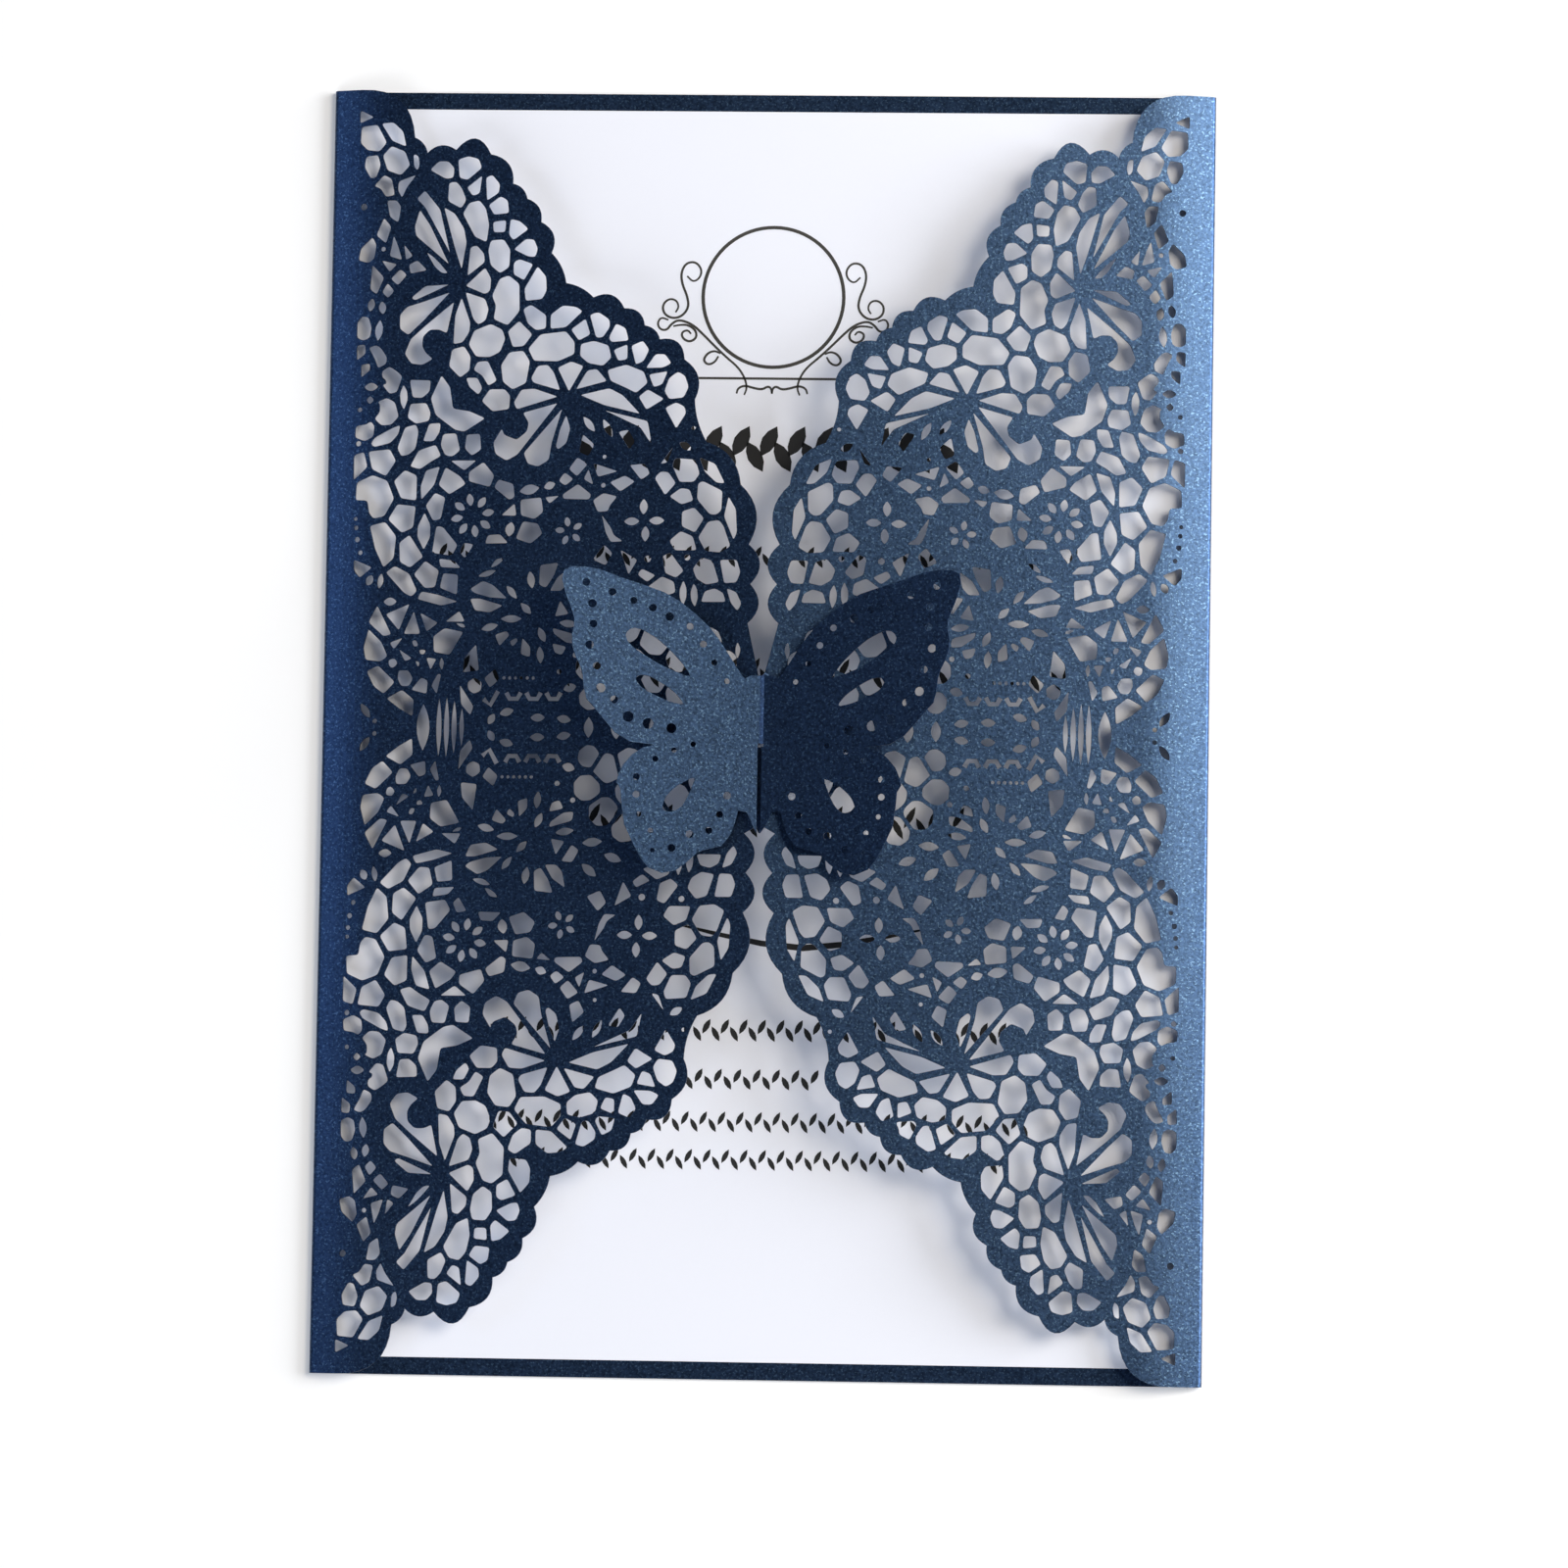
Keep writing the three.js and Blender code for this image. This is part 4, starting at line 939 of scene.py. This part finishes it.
# Ring and scrolls on the inner card, in millimetres. The scrolls are drawn from the
# ring's middle, on its left side.
RING_PLACE = (0.3, 63.0)
RING_RADIUS, RING_LINE, RING_STEPS = 10.4, 0.5, 72
SCROLL_LINE, SCROLL_TAPER = 0.34, 0.3
RULE = [(-11.3, -11.8), (11.1, -11.8)]
SCROLLS = [
    [(-12.5, 3), (-11.6, 2.1), (-10.6, 2.8), (-10.4, 4), (-11.3, 5.1), (-12.7, 4.9),
     (-13.4, 3.5), (-13.2, 1.8), (-12.4, 0), (-12.2, -1.6), (-13.2, -2.9), (-14.6, -3.2),
     (-15.8, -2.5), (-16, -1.2), (-15.1, -0.3), (-14, -0.5), (-13.6, -1.5), (-14.1, -2.3)],
    [(-15.1, -3.4), (-16.2, -3), (-16.7, -3.9), (-16.3, -4.8), (-15.3, -4.9), (-14.7, -4),
     (-13.6, -3.3), (-11.6, -4), (-9.9, -5.6), (-8.3, -7.2), (-6.7, -8.7), (-4.9, -10.2),
     (-3.9, -11.8), (-3.6, -13.2), (-4, -14.2)],
    [(-14.4, -4.3), (-13.4, -4.1), (-12.2, -4.1), (-11.1, -4.9), (-11, -6), (-12, -6.6),
     (-13, -6.1), (-13.2, -5.2), (-12.3, -4.8), (-11.8, -5.4)],
    [(-7.5, -8.2), (-8.4, -7.8), (-9.4, -8.2), (-10, -9.2), (-9.3, -9.9), (-8.3, -9.5),
     (-7.8, -8.6)],
    [(-5.1, -14), (-4.9, -13.2), (-3.9, -12.8), (-2.6, -13.2), (-1.4, -13.4), (-0.6, -12.9),
     (-0.1, -13.2), (0, -14)],
]


def curved(points, rounds=3):
    """Cuts the corners of a way until it runs smoothly."""
    for _ in range(rounds):
        cut = [points[0]]
        for a, b in zip(points, points[1:]):
            cut += [toward(a, b, 0.25), toward(a, b, 0.75)]
        points = cut + [points[-1]]
    return points


# Rows of leaves: left end, right end, height on the card, height and step of the
# leaves, width of a leaf.
ROWS = [
    (-26, 26, 41, 6.2, 2, 2.2), (-48, 44, 25.4, 2.9, 1.25, 0.8),
    (-45, 45, 8.6, 4.2, 1.6, 0.95), (-26, 28, -12.7, 4.4, 1.7, 1),
    (-38, 36, -42.7, 3, 1.3, 0.85), (-10, 8, -49.7, 2.8, 1.3, 0.85),
    (-38, 38, -55.8, 2.8, 1.3, 0.75), (-35, 35, -61.2, 2.8, 1.3, 0.75),
]
LEAF_LEAN = 28                          # degrees from upright
LEAF_SHARE, LEAF_OFFSET = 0.8, 0.18     # length and place of a leaf in its row's height

# Swash between the rows, thickest at its middle.
SWASH = [(-12, -27.6), (-6, -29), (0, -30.2), (6, -30.8), (12, -30.2), (18, -29), (23, -28)]
SWASH_LINE, SWASH_TAPER = 0.9, 0.7

INK_RISE, INK_THICKNESS = 0.00002, 0.00001


def garland(x0, x1, y, height, step, width):
    """A row of leaves that lean right and left in turn."""
    count = int((x1 - x0) / step)
    shapes = []
    for k in range(count + 1):
        x = x0 + (x1 - x0) * k / count
        side = 1 if k % 2 else -1
        shapes.append(leaf(x, y + side * LEAF_OFFSET * height, height * LEAF_SHARE, width,
                           90 - side * LEAF_LEAN, steps=4))
    return shapes


def ring_shapes():
    """The ring, its scrolls and the rule below, each as an outline and its holes."""
    x, y = RING_PLACE
    shapes = [[dot(x, y, r, RING_STEPS) for r in (RING_RADIUS, RING_RADIUS - RING_LINE)]]
    for side in (1, -1):
        for way in SCROLLS:
            outline = stroke(curved(way), SCROLL_LINE, SCROLL_TAPER)
            shapes.append([[(x + side * u, y + v) for u, v in outline]])
    shapes.append([stroke([(x + u, y + v) for u, v in RULE], SCROLL_LINE)])
    return shapes


def row_shapes():
    """The rows of leaves and the swash, each as an outline."""
    shapes = [[shape] for row in ROWS for shape in garland(*row)]
    shapes.append([stroke(SWASH, SWASH_LINE, SWASH_TAPER)])
    return shapes


def add_print(name, shapes, top, base):
    """Lays flat shapes on the inner card as a thin coat of ink."""
    bm = bmesh.new()
    for loops in shapes:
        filled(bm, loops)
    for vert in bm.verts:
        vert.co = Vector((vert.co.x * MM, vert.co.y * MM, top + INK_RISE))
    for face in bm.faces:
        if face.normal.z < 0:
            face.normal_flip()
    piece = add_piece(name, bm, ink_finish(name, base))
    wall = piece.modifiers.new("Ink thickness", "SOLIDIFY")
    wall.thickness = INK_THICKNESS
    wall.offset = -1.0


class CARD_OT_print(Operator):
    """Prints the ring with its scrolls and the rows of leaves on the inner card"""
    bl_idname = "card.print"
    bl_label = "Printed Ornament"

    def execute(self, context):
        insert = context.scene.card_insert
        top = context.scene.card_sheet.thickness + insert.rest + insert.thickness
        add_print("ring_print", ring_shapes(), top, insert.line)
        add_print("row_print", row_shapes(), top, insert.ink)
        return {"FINISHED"}


# Stage
COOL, WARM, SKY_BLUE = (0.92, 0.95, 1.0), (1.0, 0.91, 0.76), (0.50, 0.66, 1.0)

# Lamps: name, place, side of the square, tint. The power of each is a setting.
LAMPS = [
    ("key", (1.15, 0.24, 0.34), 0.9, COOL), ("sheen", (0.69, 0.31, 1.0), 0.55, WARM),
    ("fill", (-0.9, 0.15, 0.85), 0.35, SKY_BLUE), ("foot", (-0.45, -0.95, 0.75), 1.0, COOL),
]
FLOOR_SIZE, FLOOR_DROP, FLOOR_GRAIN = 3.0, 0.00005, 0.005


def add_lamp(name, place, size, tint, power):
    """A square soft lamp turned towards the card."""
    data = bpy.data.lights.new(name, "AREA")
    data.size, data.energy, data.color = size, power, tint
    lamp = bpy.data.objects.new(name, data)
    lamp.location = place
    lamp.rotation_euler = (-Vector(place)).to_track_quat("-Z", "Y").to_euler()
    bpy.context.scene.collection.objects.link(lamp)


def add_camera(stage):
    """The camera at the photo's angle."""
    data = bpy.data.cameras.new("camera")
    data.angle = stage.camera_angle
    data.clip_start, data.clip_end = 0.01, 20.0
    camera = bpy.data.objects.new("camera", data)
    camera.location = stage.camera_place
    camera.rotation_euler = stage.camera_turn
    bpy.context.scene.collection.objects.link(camera)
    bpy.context.scene.camera = camera


def floor_finish(stage):
    """Matt pale floor that glows a little for the camera alone."""
    finish = Finish("floor")
    grain = finish.noise(40.0)
    finish.set(Base_Color=finish.blend(grain, shade(stage.floor_colour, 1 - FLOOR_GRAIN),
                                       shade(stage.floor_colour, 1 + FLOOR_GRAIN)),
               Roughness=0.8, Emission_Strength=stage.floor_lift,
               Emission_Color=finish.seen_from_camera(stage.floor_colour))
    return finish.material


def add_floor(stage):
    """The floor under the card."""
    bm = bmesh.new()
    bmesh.ops.create_grid(bm, x_segments=1, y_segments=1, size=FLOOR_SIZE)
    mesh = bpy.data.meshes.new("floor")
    bm.to_mesh(mesh)
    bm.free()
    mesh.materials.append(floor_finish(stage))
    floor = bpy.data.objects.new("floor", mesh)
    floor.location.z = -FLOOR_DROP
    bpy.context.scene.collection.objects.link(floor)


def add_sky(strength):
    """A faint blue light from all round."""
    world = bpy.data.worlds.new("sky")
    world.use_nodes = True
    background = world.node_tree.nodes["Background"]
    background.inputs["Color"].default_value = (*SKY_BLUE, 1)
    background.inputs["Strength"].default_value = strength
    bpy.context.scene.world = world


class CARD_OT_stage(Operator):
    """Sets up the floor, the camera and the lamps"""
    bl_idname = "card.stage"
    bl_label = "Stage"

    def execute(self, context):
        stage = context.scene.card_stage
        add_floor(stage)
        add_camera(stage)
        for name, place, size, tint in LAMPS:
            add_lamp(name + "_lamp", place, size, tint, getattr(stage, name + "_power"))
        add_sky(stage.sky)
        context.scene.view_settings.view_transform = "Standard"
        return {"FINISHED"}


# Add-on
class CARD_PT_sidebar(Panel):
    """Lists the pieces of the card"""
    bl_idname = "CARD_PT_sidebar"
    bl_label = "Invitation Card"
    bl_space_type = "VIEW_3D"
    bl_region_type = "UI"
    bl_category = "Card"

    def draw(self, context):
        for group in (context.scene.card_sheet, context.scene.card_insert,
                      context.scene.card_stage):
            box = self.layout.box()
            for name in group.__annotations__:
                box.prop(group, name)
        for operator in OPERATORS:
            self.layout.operator(operator.bl_idname)


SETTINGS = {"card_sheet": CardSheetSettings, "card_insert": CardInsertSettings,
            "card_stage": CardStageSettings}
OPERATORS = (CARD_OT_stage, CARD_OT_cover, CARD_OT_insert, CARD_OT_print)
CLASSES = tuple(SETTINGS.values()) + OPERATORS + (CARD_PT_sidebar,)


def register():
    """Adds the classes and the settings."""
    for cls in CLASSES:
        bpy.utils.register_class(cls)
    for name, cls in SETTINGS.items():
        setattr(bpy.types.Scene, name, PointerProperty(type=cls))


def unregister():
    """Takes them away again."""
    for name in SETTINGS:
        delattr(bpy.types.Scene, name)
    for cls in reversed(CLASSES):
        bpy.utils.unregister_class(cls)


def main():
    """Builds the dressed card."""
    register()
    bpy.ops.card.stage()
    bpy.ops.card.cover()
    bpy.ops.card.insert()
    bpy.ops.card.print()


if __name__ == "__main__":
    main()
